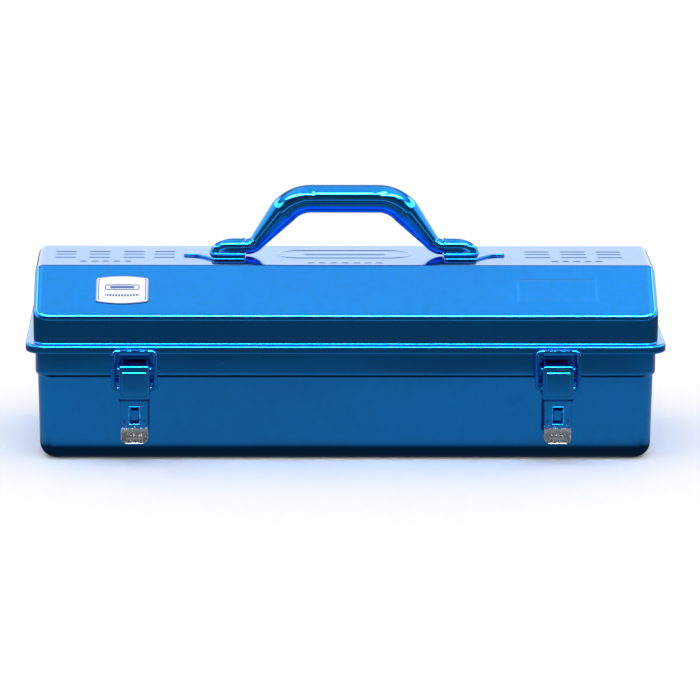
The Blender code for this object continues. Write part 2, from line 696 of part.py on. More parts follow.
def latch_lever(side_name, middle, parent):
    """A channel: face and two cheeks above, a set-back face with a window below, and a flared thumb tip."""
    name = "latch_lever_" + side_name
    face = LEVER_FACE_Y
    low_face = face + LEVER_RECESS
    path = [
        (face + LEVER_TOP_RADIUS, LEVER_TOP_Z),
        (face, LEVER_TOP_Z - LEVER_TOP_RADIUS),
        (face, LEVER_FACE_BOTTOM_Z + LEVER_RECESS / 2),
        (low_face, LEVER_FACE_BOTTOM_Z - LEVER_RECESS / 2),
        (low_face, LEVER_TIP_TOP_Z),
        (low_face - TIP_FLARE, LEVER_TIP_BOTTOM_Z),
    ]
    lever = strip_along_x(
        name, list(reversed(path)), middle - TIP_HALF_WIDTH, middle + TIP_HALF_WIDTH, LEVER_SHEET
    )
    overlap = LEVER_SHEET / 2
    for sign in (-1, 1):
        low_x, high_x = sorted(
            (middle + sign * LEVER_HALF_WIDTH, middle + sign * (LEVER_HALF_WIDTH - LEVER_SHEET))
        )
        low = (low_x, face + overlap, LEVER_FACE_BOTTOM_Z - LEVER_RECESS)
        high = (high_x, face + LEVER_CHEEK_DEPTH, LEVER_TOP_Z - LEVER_TOP_RADIUS / 2)
        combine(lever, box(name + "_cheek_%d" % (sign + 1), low, high), "UNION")
        low_x, high_x = sorted((middle + sign * LEVER_HALF_WIDTH, middle + sign * (TIP_HALF_WIDTH - overlap)))
        low = (low_x, face, LEVER_FACE_BOTTOM_Z)
        high = (high_x, face + LEVER_SHEET, LEVER_TOP_Z - LEVER_TOP_RADIUS)
        combine(lever, box(name + "_shoulder_%d" % (sign + 1), low, high), "UNION")
    low = (middle - PANEL_HALF_WIDTH, face - PANEL_RISE, PANEL_BOTTOM_Z)
    high = (middle + PANEL_HALF_WIDTH, face + overlap, PANEL_TOP_Z)
    combine(lever, box(name + "_panel", low, high), "UNION")
    through = LEVER_SHEET + TRIM
    low = (middle - WINDOW_HALF_WIDTH, low_face - through, WINDOW_BOTTOM_Z)
    high = (middle + WINDOW_HALF_WIDTH, low_face + through, WINDOW_TOP_Z)
    combine(lever, box(name + "_window", low, high), "DIFFERENCE")
    reach = LEVER_HALF_WIDTH + GAP
    for hole_name, radius, y, z in (
        ("_pin_hole", PIN_RADIUS + GAP, LEVER_PIVOT_Y, LEVER_PIVOT_Z),
        ("_bail_hole", WIRE_RADIUS + GAP, BAIL_PIVOT_Y, BAIL_PIVOT_Z),
    ):
        hole = rod_along_x(name + hole_name, middle - reach, middle + reach, radius, y, z)
        combine(lever, hole, "DIFFERENCE")
    return as_part(lever, (BLUE, 0.25, 0.6), parent)


def bail(side_name, middle, parent):
    """The wire loop: stubs in the lever's cheeks, two legs, and the bar that lies in the catch."""
    stub = LEVER_HALF_WIDTH - LEVER_SHEET * 2
    corner = BAIL_CORNER
    half = [(stub, BAIL_PIVOT_Z)]
    half += arc((BAIL_HALF_WIDTH - corner, BAIL_PIVOT_Z + corner), corner, -90, 0, 3)
    half += arc((BAIL_HALF_WIDTH - corner, BAR_Z - corner), corner, 0, 90, 3)
    whole = half + [(-x, z) for x, z in reversed(half)]
    points = [(middle + x, BAR_Y, z) for x, z in whole]
    made = as_mesh(tube("bail_" + side_name, points, [WIRE_RADIUS] * len(points), 3))
    return as_part(smooth(made), (BLUE, 0.25, 0.6), parent)


def catch(side_name, middle, parent):
    """A J-shaped hook welded on the hem: stem behind the bar, round bottom, and a lip in front of it."""
    name = "catch_" + side_name
    under = WIRE_RADIUS + GAP
    width = 2 * WIRE_RADIUS + GAP + CATCH_MOUTH
    back = BAR_Y + WIRE_RADIUS + GAP
    lip = back - width
    turn = CATCH_TURN
    bottom = BAR_Z - under
    path = [(back, CATCH_STEM_TOP_Z)]
    path += arc((back - turn, bottom + turn), turn, 0, -90, 4)
    path += arc((lip + turn, bottom + turn), turn, -90, -180, 4)
    path.append((lip, BAR_Z + CATCH_LIP_ABOVE_BAR))
    hook = strip_along_x(
        name, path, middle - CATCH_HALF_WIDTH, middle + CATCH_HALF_WIDTH, CATCH_SHEET
    )
    return as_part(smooth(hook), (BLUE, 0.25, 0.6), parent)


# ---------------------------------------------------------------- the whole box
def build():
    lid_axis = axis_empty("lid_axis", (0, HINGE_Y, HINGE_Z), TOOL_BOX)
    handle_axis = axis_empty("handle_axis", (0, 0, PIVOT_Z), TOOL_BOX)
    base_pan()
    lid_shell(lid_axis)
    label(lid_axis)
    handle(handle_axis)
    for side_name, side in (("left", -1), ("right", 1)):
        middle = side * LATCH_FROM_MIDDLE
        lever_axis = axis_empty("lever_axis_" + side_name, (middle, LEVER_PIVOT_Y, LEVER_PIVOT_Z), TOOL_BOX)
        bail_axis = axis_empty("bail_axis_" + side_name, (middle, BAIL_PIVOT_Y, BAIL_PIVOT_Z), TOOL_BOX)
        handle_bracket("handle_bracket_" + side_name, side, lid_axis)
        hinge(side_name, side * HINGE_FROM_MIDDLE, lid_axis)
        latch_base(side_name, middle)
        lever_pin(side_name, middle)
        latch_lever(side_name, middle, lever_axis)
        bail(side_name, middle, bail_axis)
        catch(side_name, middle, lid_axis)


clear_scene()
TOOL_BOX = new_collection("tool_box")
CUTTERS = new_collection("cutters")
build()
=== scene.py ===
"""A camber-top sheet steel tool box: the looks of its pieces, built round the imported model.

Metres, +Z up, X along the length, latches on the -Y side. Every piece is a surface worked out with
numpy."""

import math

import bmesh
import bpy
import numpy as np
from bpy.props import FloatProperty, FloatVectorProperty, PointerProperty
from mathutils import Matrix, Vector


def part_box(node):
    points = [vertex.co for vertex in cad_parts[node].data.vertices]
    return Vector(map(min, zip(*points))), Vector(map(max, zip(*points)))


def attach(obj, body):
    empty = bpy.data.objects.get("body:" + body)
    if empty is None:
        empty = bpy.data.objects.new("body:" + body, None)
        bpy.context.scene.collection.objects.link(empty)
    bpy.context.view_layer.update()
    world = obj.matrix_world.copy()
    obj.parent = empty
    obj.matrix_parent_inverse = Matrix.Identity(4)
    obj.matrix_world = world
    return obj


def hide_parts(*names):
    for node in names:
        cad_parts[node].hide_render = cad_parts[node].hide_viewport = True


bl_info = {
    "name": "Camber-top tool box",
    "version": (1, 0, 0),
    "blender": (4, 5, 0),
    "location": "View3D > Sidebar > Tool Box",
    "description": "Builds the looks of a pressed steel tool box round its packed model",
    "category": "Add Mesh",
}

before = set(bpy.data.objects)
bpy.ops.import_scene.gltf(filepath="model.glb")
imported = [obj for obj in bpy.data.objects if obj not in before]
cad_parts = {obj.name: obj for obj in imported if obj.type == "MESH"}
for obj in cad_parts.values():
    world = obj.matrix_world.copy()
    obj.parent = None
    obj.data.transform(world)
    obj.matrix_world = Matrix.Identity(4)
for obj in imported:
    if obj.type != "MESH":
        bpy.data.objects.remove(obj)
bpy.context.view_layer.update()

# ---------------------------------------------------------------- places that come from the frame
LID_LOW, LID_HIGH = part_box("lid_shell")
PAN_LOW, PAN_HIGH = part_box("base_pan")
HANDLE_LOW, HANDLE_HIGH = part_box("handle")
LABEL_LOW, LABEL_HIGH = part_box("label")
SIDES = (("left", -1), ("right", 1))

GAP = 0.0003
SHEET = 0.0008
RIM_BEYOND_LID = 0.0051
RIM_BEYOND_PAN = 0.0061
RIM_HALF_X = LID_HIGH.x
RIM_HALF_Y = LID_HIGH.y
RIM_BOTTOM = LID_LOW.z
LID_TOP = LID_HIGH.z
LID_HALF_X = RIM_HALF_X - RIM_BEYOND_LID
LID_HALF_Y = RIM_HALF_Y - RIM_BEYOND_LID
PAN_HALF_X = RIM_HALF_X - RIM_BEYOND_PAN
PAN_HALF_Y = RIM_HALF_Y - RIM_BEYOND_PAN
RIM_TOP = PAN_HIGH.z + SHEET + GAP
LID_WALL_TOP = 0.0955
LID_FLAT_HALF = 0.0345
SLOPE_ANGLE = math.atan2(LID_TOP - LID_WALL_TOP, LID_HALF_Y - LID_FLAT_HALF)
PIVOT_Z = LID_TOP + 0.0058

HINGE_BARREL_RADIUS = 0.0027
HINGE_Y = RIM_HALF_Y + GAP + HINGE_BARREL_RADIUS
HINGE_Z = RIM_BOTTOM


# ---------------------------------------------------------------- meshes from arrays
def arc(centre, radius, start, end, steps):
    """Points on a circle from one angle to another in degrees: centre + radius (cos a, sin a)."""
    a = np.radians(np.linspace(start, end, steps + 1))
    return np.stack([centre[0] + radius * np.cos(a), centre[1] + radius * np.sin(a)], -1)


def smoothstep(value, low, high):
    """0 below low, 1 above high, and 3t^2 - 2t^3 between them."""
    t = np.clip((value - low) / (high - low), 0.0, 1.0)
    return t * t * (3 - 2 * t)


def rounded_box_distance(x, y, centre, half, corner):
    """Distance outside a round-cornered rectangle, negative inside: |max(|p - c| - h + r, 0)| - r."""
    dx = np.abs(x - centre[0]) - half[0] + corner
    dy = np.abs(y - centre[1]) - half[1] + corner
    outside = np.hypot(np.maximum(dx, 0.0), np.maximum(dy, 0.0))
    return outside + np.minimum(np.maximum(dx, dy), 0.0) - corner


def grid_quads(rows, columns, wrap_rows=False, wrap_columns=False, first=0):
    """Four corner numbers for each cell of a grid of points; a wrapped side joins its last line to its
    first."""
    i = np.arange(rows if wrap_rows else rows - 1)[:, None]
    j = np.arange(columns if wrap_columns else columns - 1)[None, :]
    below = (i + 1) % rows
    right = (j + 1) % columns
    cells = np.stack(np.broadcast_arrays(
        i * columns + j, i * columns + right, below * columns + right, below * columns + j), -1)
    return cells.reshape(-1, 4) + first


class Shell:
    """Gathers grids of points and their faces, and makes one mesh of them."""

    def __init__(self):
        self.points = []
        self.faces = []
        self.count = 0

    def grid(self, points, wrap_rows=False, wrap_columns=False, flip=False, keep=None):
        """Adds a (rows, columns, 3) grid; keep is a mask of its cells."""
        rows, columns = points.shape[:2]
        quads = grid_quads(rows, columns, wrap_rows, wrap_columns, self.count)
        if keep is not None:
            quads = quads[keep.reshape(-1)]
        if flip:
            quads = quads[:, ::-1]
        self.points.append(points.reshape(-1, 3))
        self.faces.append(quads)
        self.count += rows * columns
        return self

    def cap(self, loop, flip=False):
        """Closes a loop of points with one face."""
        number = np.arange(len(loop)) + self.count
        self.points.append(np.asarray(loop))
        self.faces.append((number[::-1] if flip else number)[None, :])
        self.count += len(loop)
        return self

    def mesh(self, name, weld=1e-6, sharp=35.0):
        """Welds the seams, drops what has no area, turns nothing, and shades it smooth up to the sharp
        angle."""
        mesh = bpy.data.meshes.new(name)
        faces = [face for group in self.faces for face in group.tolist()]
        mesh.from_pydata(np.concatenate(self.points).tolist(), [], faces)
        bm = bmesh.new()
        bm.from_mesh(mesh)
        bmesh.ops.remove_doubles(bm, verts=bm.verts, dist=weld)
        bmesh.ops.dissolve_degenerate(bm, edges=bm.edges, dist=weld)
        bm.to_mesh(mesh)
        bm.free()
        mesh.shade_smooth()
        mesh.set_sharp_from_angle(angle=math.radians(sharp))
        return mesh


def new_piece(name, mesh, finish, body, replaced):
    """Puts a mesh in the scene with its finish, riding on its body and standing for its CAD nodes."""
    piece = bpy.data.objects.new(name, mesh)
    bpy.context.scene.collection.objects.link(piece)
    mesh.materials.append(finish)
    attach(piece, body)
    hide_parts(*replaced)
    return piece


def thicken(piece, thickness, offset=-1.0):
    made = piece.modifiers.new("Sheet", "SOLIDIFY")
    made.thickness = thickness
    made.offset = offset
    made.use_even_offset = False
    return made


def soften(piece, width, segments=2, angle=40.0):
    made = piece.modifiers.new("Edges", "BEVEL")
    made.width = width
    made.segments = segments
    made.limit_method = "ANGLE"
    made.angle_limit = math.radians(angle)
    made.harden_normals = False
    return made


def rounded_loop(half_x, half_y, radius, corner_steps, side_steps):
    """(x, y) round a rectangle with round corners, anticlockwise from the front right corner, and its
    outward normals. Corner points are c + r (cos a, sin a); the straight sides are cut evenly."""
    places = []
    normals = []
    corners = ((1, -1, -90), (1, 1, 0), (-1, 1, 90), (-1, -1, 180))
    for number, (side_x, side_y, start) in enumerate(corners):
        a = np.radians(start + np.linspace(0, 90, corner_steps + 1))
        spoke = np.stack([np.cos(a), np.sin(a)], -1)
        centre = np.array([side_x * (half_x - radius), side_y * (half_y - radius)])
        corner = centre + radius * spoke
        following = corners[(number + 1) % 4]
        next_centre = np.array([following[0] * (half_x - radius), following[1] * (half_y - radius)])
        goal = next_centre + radius * spoke[-1]
        steps = side_steps[number % 2]
        length = np.linalg.norm(goal - corner[-1])
        inner = np.concatenate(
            [[SUPPORT / length], np.linspace(0, 1, steps + 1)[1:-1], [1 - SUPPORT / length]])
        side = corner[-1] + (goal - corner[-1]) * inner[:, None]
        places += [corner, side]
        normals += [spoke, np.broadcast_to(spoke[-1], side.shape)]
    return np.concatenate(places), np.concatenate(normals)


SUPPORT = 0.0008        # a line this far from a round keeps the flat beside it flat
TUBE_SIDES = 48


def swept_tube(shell, centres, tangents, front, radii, sides=TUBE_SIDES):
    """Rings along a path in a plane: centre + radius (cos a front + sin a up), where up = front x
    tangent."""
    up = np.cross(front, tangents)
    up /= np.linalg.norm(up, axis=1)[:, None]
    a = np.linspace(0, 2 * np.pi, sides, endpoint=False)
    if radii.ndim == 1:
        radii = np.repeat(radii[:, None], sides, 1)
    ring = np.cos(a)[None, :, None] * front + np.sin(a)[None, :, None] * up[:, None, :]
    points = centres[:, None, :] + radii[..., None] * ring
    shell.grid(points, wrap_columns=True)
    shell.cap(points[0])
    shell.cap(points[-1], flip=True)
    return shell


def face_outwards(mesh):
    """Turns every face of a closed shell outwards."""
    bm = bmesh.new()
    bm.from_mesh(mesh)
    bmesh.ops.recalc_face_normals(bm, faces=bm.faces)
    bm.to_mesh(mesh)
    bm.free()
    return mesh


# ---------------------------------------------------------------- shader maths
class Wire:
    """An output socket in a Python expression: each operator adds one Math node to its finish."""

    def __init__(self, finish, socket):
        self.finish = finish
        self.socket = socket

    def maths(self, operation, *values):
        links = {number: value for number, value in enumerate(values)}
        return self.finish.add("ShaderNodeMath", {"operation": operation}, links)

    def __add__(self, other):
        return self.maths("ADD", self, other)

    def __radd__(self, other):
        return self.maths("ADD", other, self)

    def __sub__(self, other):
        return self.maths("SUBTRACT", self, other)

    def __rsub__(self, other):
        return self.maths("SUBTRACT", other, self)

    def __mul__(self, other):
        return self.maths("MULTIPLY", self, other)

    def __rmul__(self, other):
        return self.maths("MULTIPLY", other, self)

    def __truediv__(self, other):
        return self.maths("DIVIDE", self, other)

    def __abs__(self):
        return self.maths("ABSOLUTE", self)

    def clipped(self):
        return self.maths("MAXIMUM", self, 0.0)

    def root(self):
        return self.maths("SQRT", self)

    def below(self, limit, soft):
        """1 under the limit, falling to 0 over the soft width about it."""
        return self.ramp(limit + soft / 2, limit - soft / 2)

    def above(self, limit, soft):
        return self.ramp(limit - soft / 2, limit + soft / 2)

    def ramp(self, low, high, to_low=0.0, to_high=1.0):
        """The value's way from low to high, eased, as a value from to_low to to_high."""
        settings = {"interpolation_type": "SMOOTHSTEP"}
        links = {"Value": self, "From Min": low, "From Max": high, "To Min": to_low, "To Max": to_high}
        return self.finish.add("ShaderNodeMapRange", settings, links)


class Finish:
    """One material, with a method that adds any node: its type, its settings, then its sockets."""

    def __init__(self, name):
        self.material = bpy.data.materials.new(name)
        self.material.use_nodes = True
        self.tree = self.material.node_tree
        self.surface = self.tree.nodes["Principled BSDF"]

    def fill(self, node, links):
        for key, value in links.items():
            socket = node.inputs[key]
            if isinstance(value, Wire):
                self.tree.links.new(value.socket, socket)
            else:
                socket.default_value = value

    def add(self, kind, settings=None, links=None, output=0):
        node = self.tree.nodes.new(kind)
        for key, value in (settings or {}).items():
            setattr(node, key, value)
        self.fill(node, links or {})
        return Wire(self, node.outputs[output])

    def place(self, stretch=(1, 1, 1), centre=(0, 0, 0)):
        """Object coordinates, centred and stretched by a Mapping node."""
        coordinates = self.add("ShaderNodeTexCoord", output="Object")
        if tuple(stretch) == (1, 1, 1) and tuple(centre) == (0, 0, 0):
            return coordinates
        moved = tuple(-c * s for c, s in zip(centre, stretch))
        return self.add("ShaderNodeMapping",
            links={"Vector": coordinates, "Location": moved, "Scale": stretch})

    def axes(self, vector):
        node = self.tree.nodes.new("ShaderNodeSeparateXYZ")
        self.tree.links.new(vector.socket, node.inputs[0])
        return [Wire(self, output) for output in node.outputs]

    def noise(self, scale, detail=2.0, roughness=0.5, stretch=(1, 1, 1), offset=0.0):
        """Noise from about 0 to 1, scale cycles to the metre."""
        vector = self.place(stretch, (offset, offset, offset))
        links = {"Vector": vector, "Scale": scale, "Detail": detail, "Roughness": roughness}
        return self.add("ShaderNodeTexNoise", links=links)

    def tint(self, share, low, high):
        """A colour between two, mixed by a share."""
        node = self.tree.nodes.new("ShaderNodeMix")
        node.data_type = "RGBA"
        self.fill(node, {0: share, 6: low, 7: high})
        return Wire(self, node.outputs[2])

    def bump(self, height, distance, strength=1.0, under=None):
        links = {"Height": height, "Distance": distance, "Strength": strength}
        if under is not None:
            links["Normal"] = under
        return self.add("ShaderNodeBump", links=links)

    def shade(self, **sockets):
        """Sets the surface's sockets by name, with _ for a space."""
        self.fill(self.surface, {key.replace("_", " "): value for key, value in sockets.items()})
        return self.material


def rgba(colour, share=1.0):
    return tuple(channel * share for channel in colour[:3]) + (1.0,)


def blue_enamel(name, settings, seed, sheet_wave=0.0, wear=None):
    """Glossy blue baked enamel: a soft drift of the blue, faint orange peel, hairline rubs and a few
    dust nibs. sheet_wave is the height of the slow waves that a drawn sheet keeps, and wear a mask of
    rubbed places."""
    made = Finish(name)
    drift = made.noise(7.0, 3.0, 0.5, offset=seed)
    blue = made.tint(drift.ramp(0.3, 0.7), rgba(settings.blue, 0.93), rgba(settings.blue, 1.05))
    mottle = made.noise(160.0, 2.0, 0.6, offset=seed + 1)
    blue = made.tint(mottle.ramp(0.35, 0.75) * 0.10, blue, rgba(settings.deep_blue))
    rubs = made.noise(30.0, 4.0, 0.65, stretch=(1, 9, 3), offset=seed + 2).ramp(0.56, 0.78)
    patches = made.noise(24.0, 2.0, 0.5, offset=seed + 3).ramp(0.52, 0.68)
    rough = settings.gloss_roughness + rubs * patches * 0.10 + mottle.ramp(0.4, 0.8) * 0.02
    peel = made.noise(620.0, 1.0, 0.4, offset=seed + 4)
    nibs = made.noise(260.0, 0.0, 0.0, offset=seed + 5).ramp(0.80, 0.88)
    surface = made.bump(peel, 0.00001, settings.peel)
    surface = made.bump(nibs, 0.00006, 0.5, under=surface)
    if sheet_wave:
        wave = made.noise(9.0, 1.0, 0.4, stretch=(1, 2.2, 2.2), offset=seed + 6)
        surface = made.bump(wave, sheet_wave, 1.0, under=surface)
    if wear is not None:
        share = wear(made)
        blue = made.tint(share, blue, rgba(settings.primer))
        rough = rough + share * 0.22
    return made.shade(
        Base_Color=blue, Roughness=rough, Metallic=settings.flake, Normal=surface,
        Coat_Weight=settings.coat, Coat_Roughness=0.02, Coat_IOR=1.5)


def edge_rub(low, high, axis, seed):
    """Rubbed paint between two heights on an axis, broken up by noise."""
    def mask(made):
        along = made.axes(made.place())[axis]
        patch = made.noise(900.0, 3.0, 0.6, offset=seed).ramp(0.52, 0.66)
        return along.ramp(low, high) * patch
    return mask


def tipped_enamel(name, settings, seed, tip_z, fray):
    """Enamel over plated steel: the paint stops in a frayed line near tip_z, and the bare tip is
    brushed."""
    made = Finish(name)
    z = made.axes(made.place())[2]
    edge = made.noise(620.0, 3.0, 0.65, stretch=(1, 1, 0.6), offset=seed) - 0.5
    fleck = made.noise(1100.0, 2.0, 0.5, offset=seed + 1).ramp(0.62, 0.70)
    bare = (z + edge * fray).below(tip_z, 0.0004)
    near = z.below(tip_z + fray * 0.55, 0.0006)
    bare = bare.maths("MAXIMUM", bare, near * fleck)
    mottle = made.noise(200.0, 2.0, 0.6, offset=seed + 2)
    blue = made.tint(mottle.ramp(0.3, 0.8) * 0.15, rgba(settings.blue), rgba(settings.deep_blue))
    grain = made.noise(240.0, 3.0, 0.6, stretch=(8, 1, 1), offset=seed + 3)
    steel = made.tint(grain.ramp(0.3, 0.7), rgba(settings.steel, 0.80), rgba(settings.steel, 1.06))
    rough = (1 - bare) * settings.gloss_roughness + mottle * 0.05 + bare * (grain * 0.16 + 0.16)
    peel = made.noise(620.0, 1.0, 0.4, offset=seed + 4)
    surface = made.bump(peel, 0.00001, settings.peel)
    surface = made.bump(bare, 0.00006, 1.0, under=surface)
    surface = made.bump(grain * bare, 0.00002, 0.8, under=surface)
    return made.shade(
        Base_Color=made.tint(bare, blue, steel), Roughness=rough,
        Metallic=bare.ramp(0.0, 1.0, settings.flake, 1.0),
        Normal=surface, Coat_Weight=(1 - bare) * settings.coat, Coat_Roughness=0.02,
        Coat_IOR=1.5)


def plated_steel(name, settings, seed):
    """Bright zinc plate with a drawn grain and dull patches."""
    made = Finish(name)
    grain = made.noise(300.0, 3.0, 0.6, stretch=(12, 1, 1), offset=seed)
    dull = made.noise(90.0, 3.0, 0.6, offset=seed + 1).ramp(0.45, 0.7)
    steel = made.tint(dull, rgba(settings.steel), rgba(settings.steel, 0.72))
    surface = made.bump(grain, 0.00002, 0.7)
    return made.shade(Base_Color=steel, Roughness=0.2 + grain * 0.14 + dull * 0.1, Metallic=1.0,
        Normal=surface)


def printed_label(name, settings):
    """White film printed in blue: side rules that follow its edge, a plain bar, and ruled dashes; no
    lettering. The pattern reads the label's own map, where u and v run from -1 to 1 across it."""
    made = Finish(name)
    vector = made.add("ShaderNodeUVMap", {"uv_map": "label"})
    u, v, _ = made.axes(vector)
    away = abs(u)
    side_rule = away.above(0.880, 0.006) * away.below(0.915, 0.006) * abs(v).below(0.90, 0.02)
    border = away.above(0.955, 0.006) + abs(v).above(0.955, 0.010)
    bar_x = away.below(0.62, 0.01)
    bar_edge = abs(abs(v - 0.18) - 0.17).below(0.036, 0.012)
    bar_core = abs(v - 0.18).below(0.085, 0.015) * away.below(0.46, 0.01)
    dash = made.add("ShaderNodeMath", {"operation": "FRACT"}, {0: u * 9.0 + 0.5})
    dashes = abs(dash - 0.5).below(0.34, 0.06) * away.below(0.66, 0.01) * abs(v + 0.42).below(0.075, 0.02)
    line = abs(v + 0.63).below(0.018, 0.012) * away.below(0.66, 0.01)
    ends = abs(away - 0.64).below(0.02, 0.01) * abs(v - 0.18).below(0.16, 0.02)
    ink = side_rule + border * 0.55 + bar_x * bar_edge + ends + bar_core + dashes
    ink = ink.ramp(0.05, 0.95)
    speck = made.noise(420.0, 3.0, 0.6)
    film = made.tint(speck.ramp(0.4, 0.8) * 0.5, rgba(settings.paper), rgba(settings.paper, 0.93))
    printed = made.tint(line.ramp(0.1, 0.9) * 0.55, film, rgba(settings.grey_ink))
    printed = made.tint(ink * 0.94, printed, rgba(settings.ink))
    surface = made.bump(made.noise(300.0, 2.0, 0.5), 0.00002, 0.5)
    surface = made.bump(ink, 0.00001, 0.5, under=surface)
    return made.shade(Base_Color=printed, Roughness=0.30 + speck * 0.12, Metallic=0.0, Normal=surface,
                      Coat_Weight=0.25, Coat_Roughness=0.1)


def finish_once(name, make, *arguments):
    """A finish is made once and then shared."""
    found = bpy.data.materials.get(name)
    return found if found is not None else make(name, *arguments)


# ---------------------------------------------------------------- settings
class ToolBoxFinishSettings(bpy.types.PropertyGroup):
    blue: FloatVectorProperty(
        name="Blue", description="Enamel's colour in reflected light", subtype="COLOR",
        default=(0.0, 0.30, 0.94))
    deep_blue: FloatVectorProperty(
        name="Deep blue", description="Darker fleck in the enamel", subtype="COLOR",
        default=(0.0, 0.13, 0.46))
    primer: FloatVectorProperty(
        name="Rubbed", description="Colour of rubbed enamel", subtype="COLOR", default=(0.10, 0.34, 0.62))
    steel: FloatVectorProperty(
        name="Steel", description="Plated steel", subtype="COLOR", default=(0.74, 0.80, 0.86))
    paper: FloatVectorProperty(
        name="Label", description="Label film", subtype="COLOR", default=(0.93, 0.94, 0.93))
    ink: FloatVectorProperty(
        name="Ink", description="Print on the label", subtype="COLOR", default=(0.02, 0.08, 0.42))
    grey_ink: FloatVectorProperty(
        name="Grey ink", description="Fine print on the label", subtype="COLOR", default=(0.50, 0.50, 0.46))
    gloss_roughness: FloatProperty(
        name="Roughness", description="Roughness of the blue under the coat", default=0.10, min=0.0,
        max=1.0)
    flake: FloatProperty(
        name="Flake", description="Metallic share of the blue", default=1.0, min=0.0, max=1.0)
    coat: FloatProperty(name="Coat", description="Clear coat over the enamel", default=0.45, min=0.0,
        max=1.0)
    peel: FloatProperty(name="Orange peel", description="Strength of the fine ripple", default=0.12, min=0,
        max=1)


class ToolBoxLidSettings(bpy.types.PropertyGroup):
    corner: FloatProperty(
        name="Corner", description="Plan radius of the wall", default=0.0100, subtype="DISTANCE",
        unit="LENGTH")
    end_edge: FloatProperty(
        name="End edge", description="Radius between end wall and camber", default=0.0055,
        subtype="DISTANCE",
        unit="LENGTH")
    fold_radius: FloatProperty(
        name="Fold", description="Radius of the camber's folds", default=0.0060, subtype="DISTANCE",
        unit="LENGTH")
    emboss: FloatProperty(
        name="Emboss", description="Height of the pressed ribs", default=0.0003, subtype="DISTANCE",
        unit="LENGTH")
    rim_edge: FloatProperty(
        name="Rim edge", description="Radius of the rim's edge", default=0.0016, subtype="DISTANCE",
        unit="LENGTH")
    rim_root: FloatProperty(
        name="Rim root", description="Radius at the wall's foot", default=0.0010, subtype="DISTANCE",
        unit="LENGTH")


class ToolBoxPanSettings(bpy.types.PropertyGroup):
    corner: FloatProperty(
        name="Corner", description="Plan radius of the upper wall", default=0.0130, subtype="DISTANCE",
        unit="LENGTH")
    bottom_radius: FloatProperty(
        name="Bottom", description="Radius between wall and floor", default=0.0100, subtype="DISTANCE",
        unit="LENGTH")
    shoulder_z: FloatProperty(
        name="Shoulder", description="Height of the step", default=0.0540, subtype="DISTANCE",
        unit="LENGTH")
    shoulder_rise: FloatProperty(
        name="Shoulder rise", description="Height of the step's slope", default=0.0030, subtype="DISTANCE",
        unit="LENGTH")
    shoulder_step: FloatProperty(
        name="Shoulder step", description="How far the step stands in", default=0.0016, subtype="DISTANCE",
        unit="LENGTH")
    draft: FloatProperty(
        name="Draft", description="Lean of the lower wall", default=0.0010, subtype="DISTANCE",
        unit="LENGTH")
    bead_radius: FloatProperty(
        name="Bead", description="Radius of the rim bead", default=0.0024, subtype="DISTANCE",
        unit="LENGTH")


class ToolBoxHandleSettings(bpy.types.PropertyGroup):
    grip_radius: FloatProperty(
        name="Grip", description="Radius of the grip", default=0.0092, subtype="DISTANCE", unit="LENGTH")
    leg_radius: FloatProperty(
        name="Leg", description="Radius at the leg's foot", default=0.0052, subtype="DISTANCE",
        unit="LENGTH")
    seam_depth: FloatProperty(
        name="Seam", description="Depth of the rolled seam", default=0.00030, subtype="DISTANCE",
        unit="LENGTH")
    dent_depth: FloatProperty(
        name="Dents", description="Depth of the bending dents", default=0.00022, subtype="DISTANCE",
        unit="LENGTH")


class ToolBoxLatchSettings(bpy.types.PropertyGroup):
    wire_radius: FloatProperty(
        name="Wire", description="Radius of the bail's wire", default=0.0015, subtype="DISTANCE",
        unit="LENGTH")
    lever_sheet: FloatProperty(
        name="Lever sheet", description="Thickness of the lever", default=0.0010, subtype="DISTANCE",
        unit="LENGTH")
    catch_sheet: FloatProperty(
        name="Catch sheet", description="Thickness of the catch", default=0.0011, subtype="DISTANCE",
        unit="LENGTH")


class ToolBoxStageSettings(bpy.types.PropertyGroup):
    camera_turn: FloatProperty(
        name="Turn", description="Camera's turn to the left of the front", default=math.radians(1.183),
        subtype="ANGLE", unit="ROTATION")
    camera_height: FloatProperty(
        name="Elevation", description="Camera's elevation", default=math.radians(11.8), subtype="ANGLE",
        unit="ROTATION")
    camera_roll: FloatProperty(
        name="Roll", description="Camera's roll", default=0.0048, subtype="ANGLE", unit="ROTATION")
    camera_distance: FloatProperty(
        name="Distance", description="From the camera to what it looks at", default=3.369,
        subtype="DISTANCE",
        unit="LENGTH")
    lens: FloatProperty(name="Lens", description="Focal length in millimetres", default=263.7)
    key_power: FloatProperty(name="Key", description="Radiance of the strip high in front", default=30.0)
    sweep: FloatProperty(name="Sweep", description="Radiance low behind the box", default=1.15)
    ceiling: FloatProperty(name="Ceiling", description="Radiance over the middle of the box", default=0.92)
    ceiling_ends: FloatProperty(name="Ceiling ends", description="What the ceiling gains towards the ends",
        default=0.30)
    room: FloatProperty(name="Room", description="Light that falls on matt faces", default=1.08)


# ---------------------------------------------------------------- lid
RIM_RETURN = 0.0015     # height of the hem's folded leg
HEM_RADIUS = 0.0009
FOLD_STEPS = 10
CORNER_ARC = 18
RIB_GROUPS_LEFT = (-0.1820, -0.1600, -0.1375, -0.1175)
RIB_GROUPS_RIGHT = (0.1265, 0.1500, 0.1735)


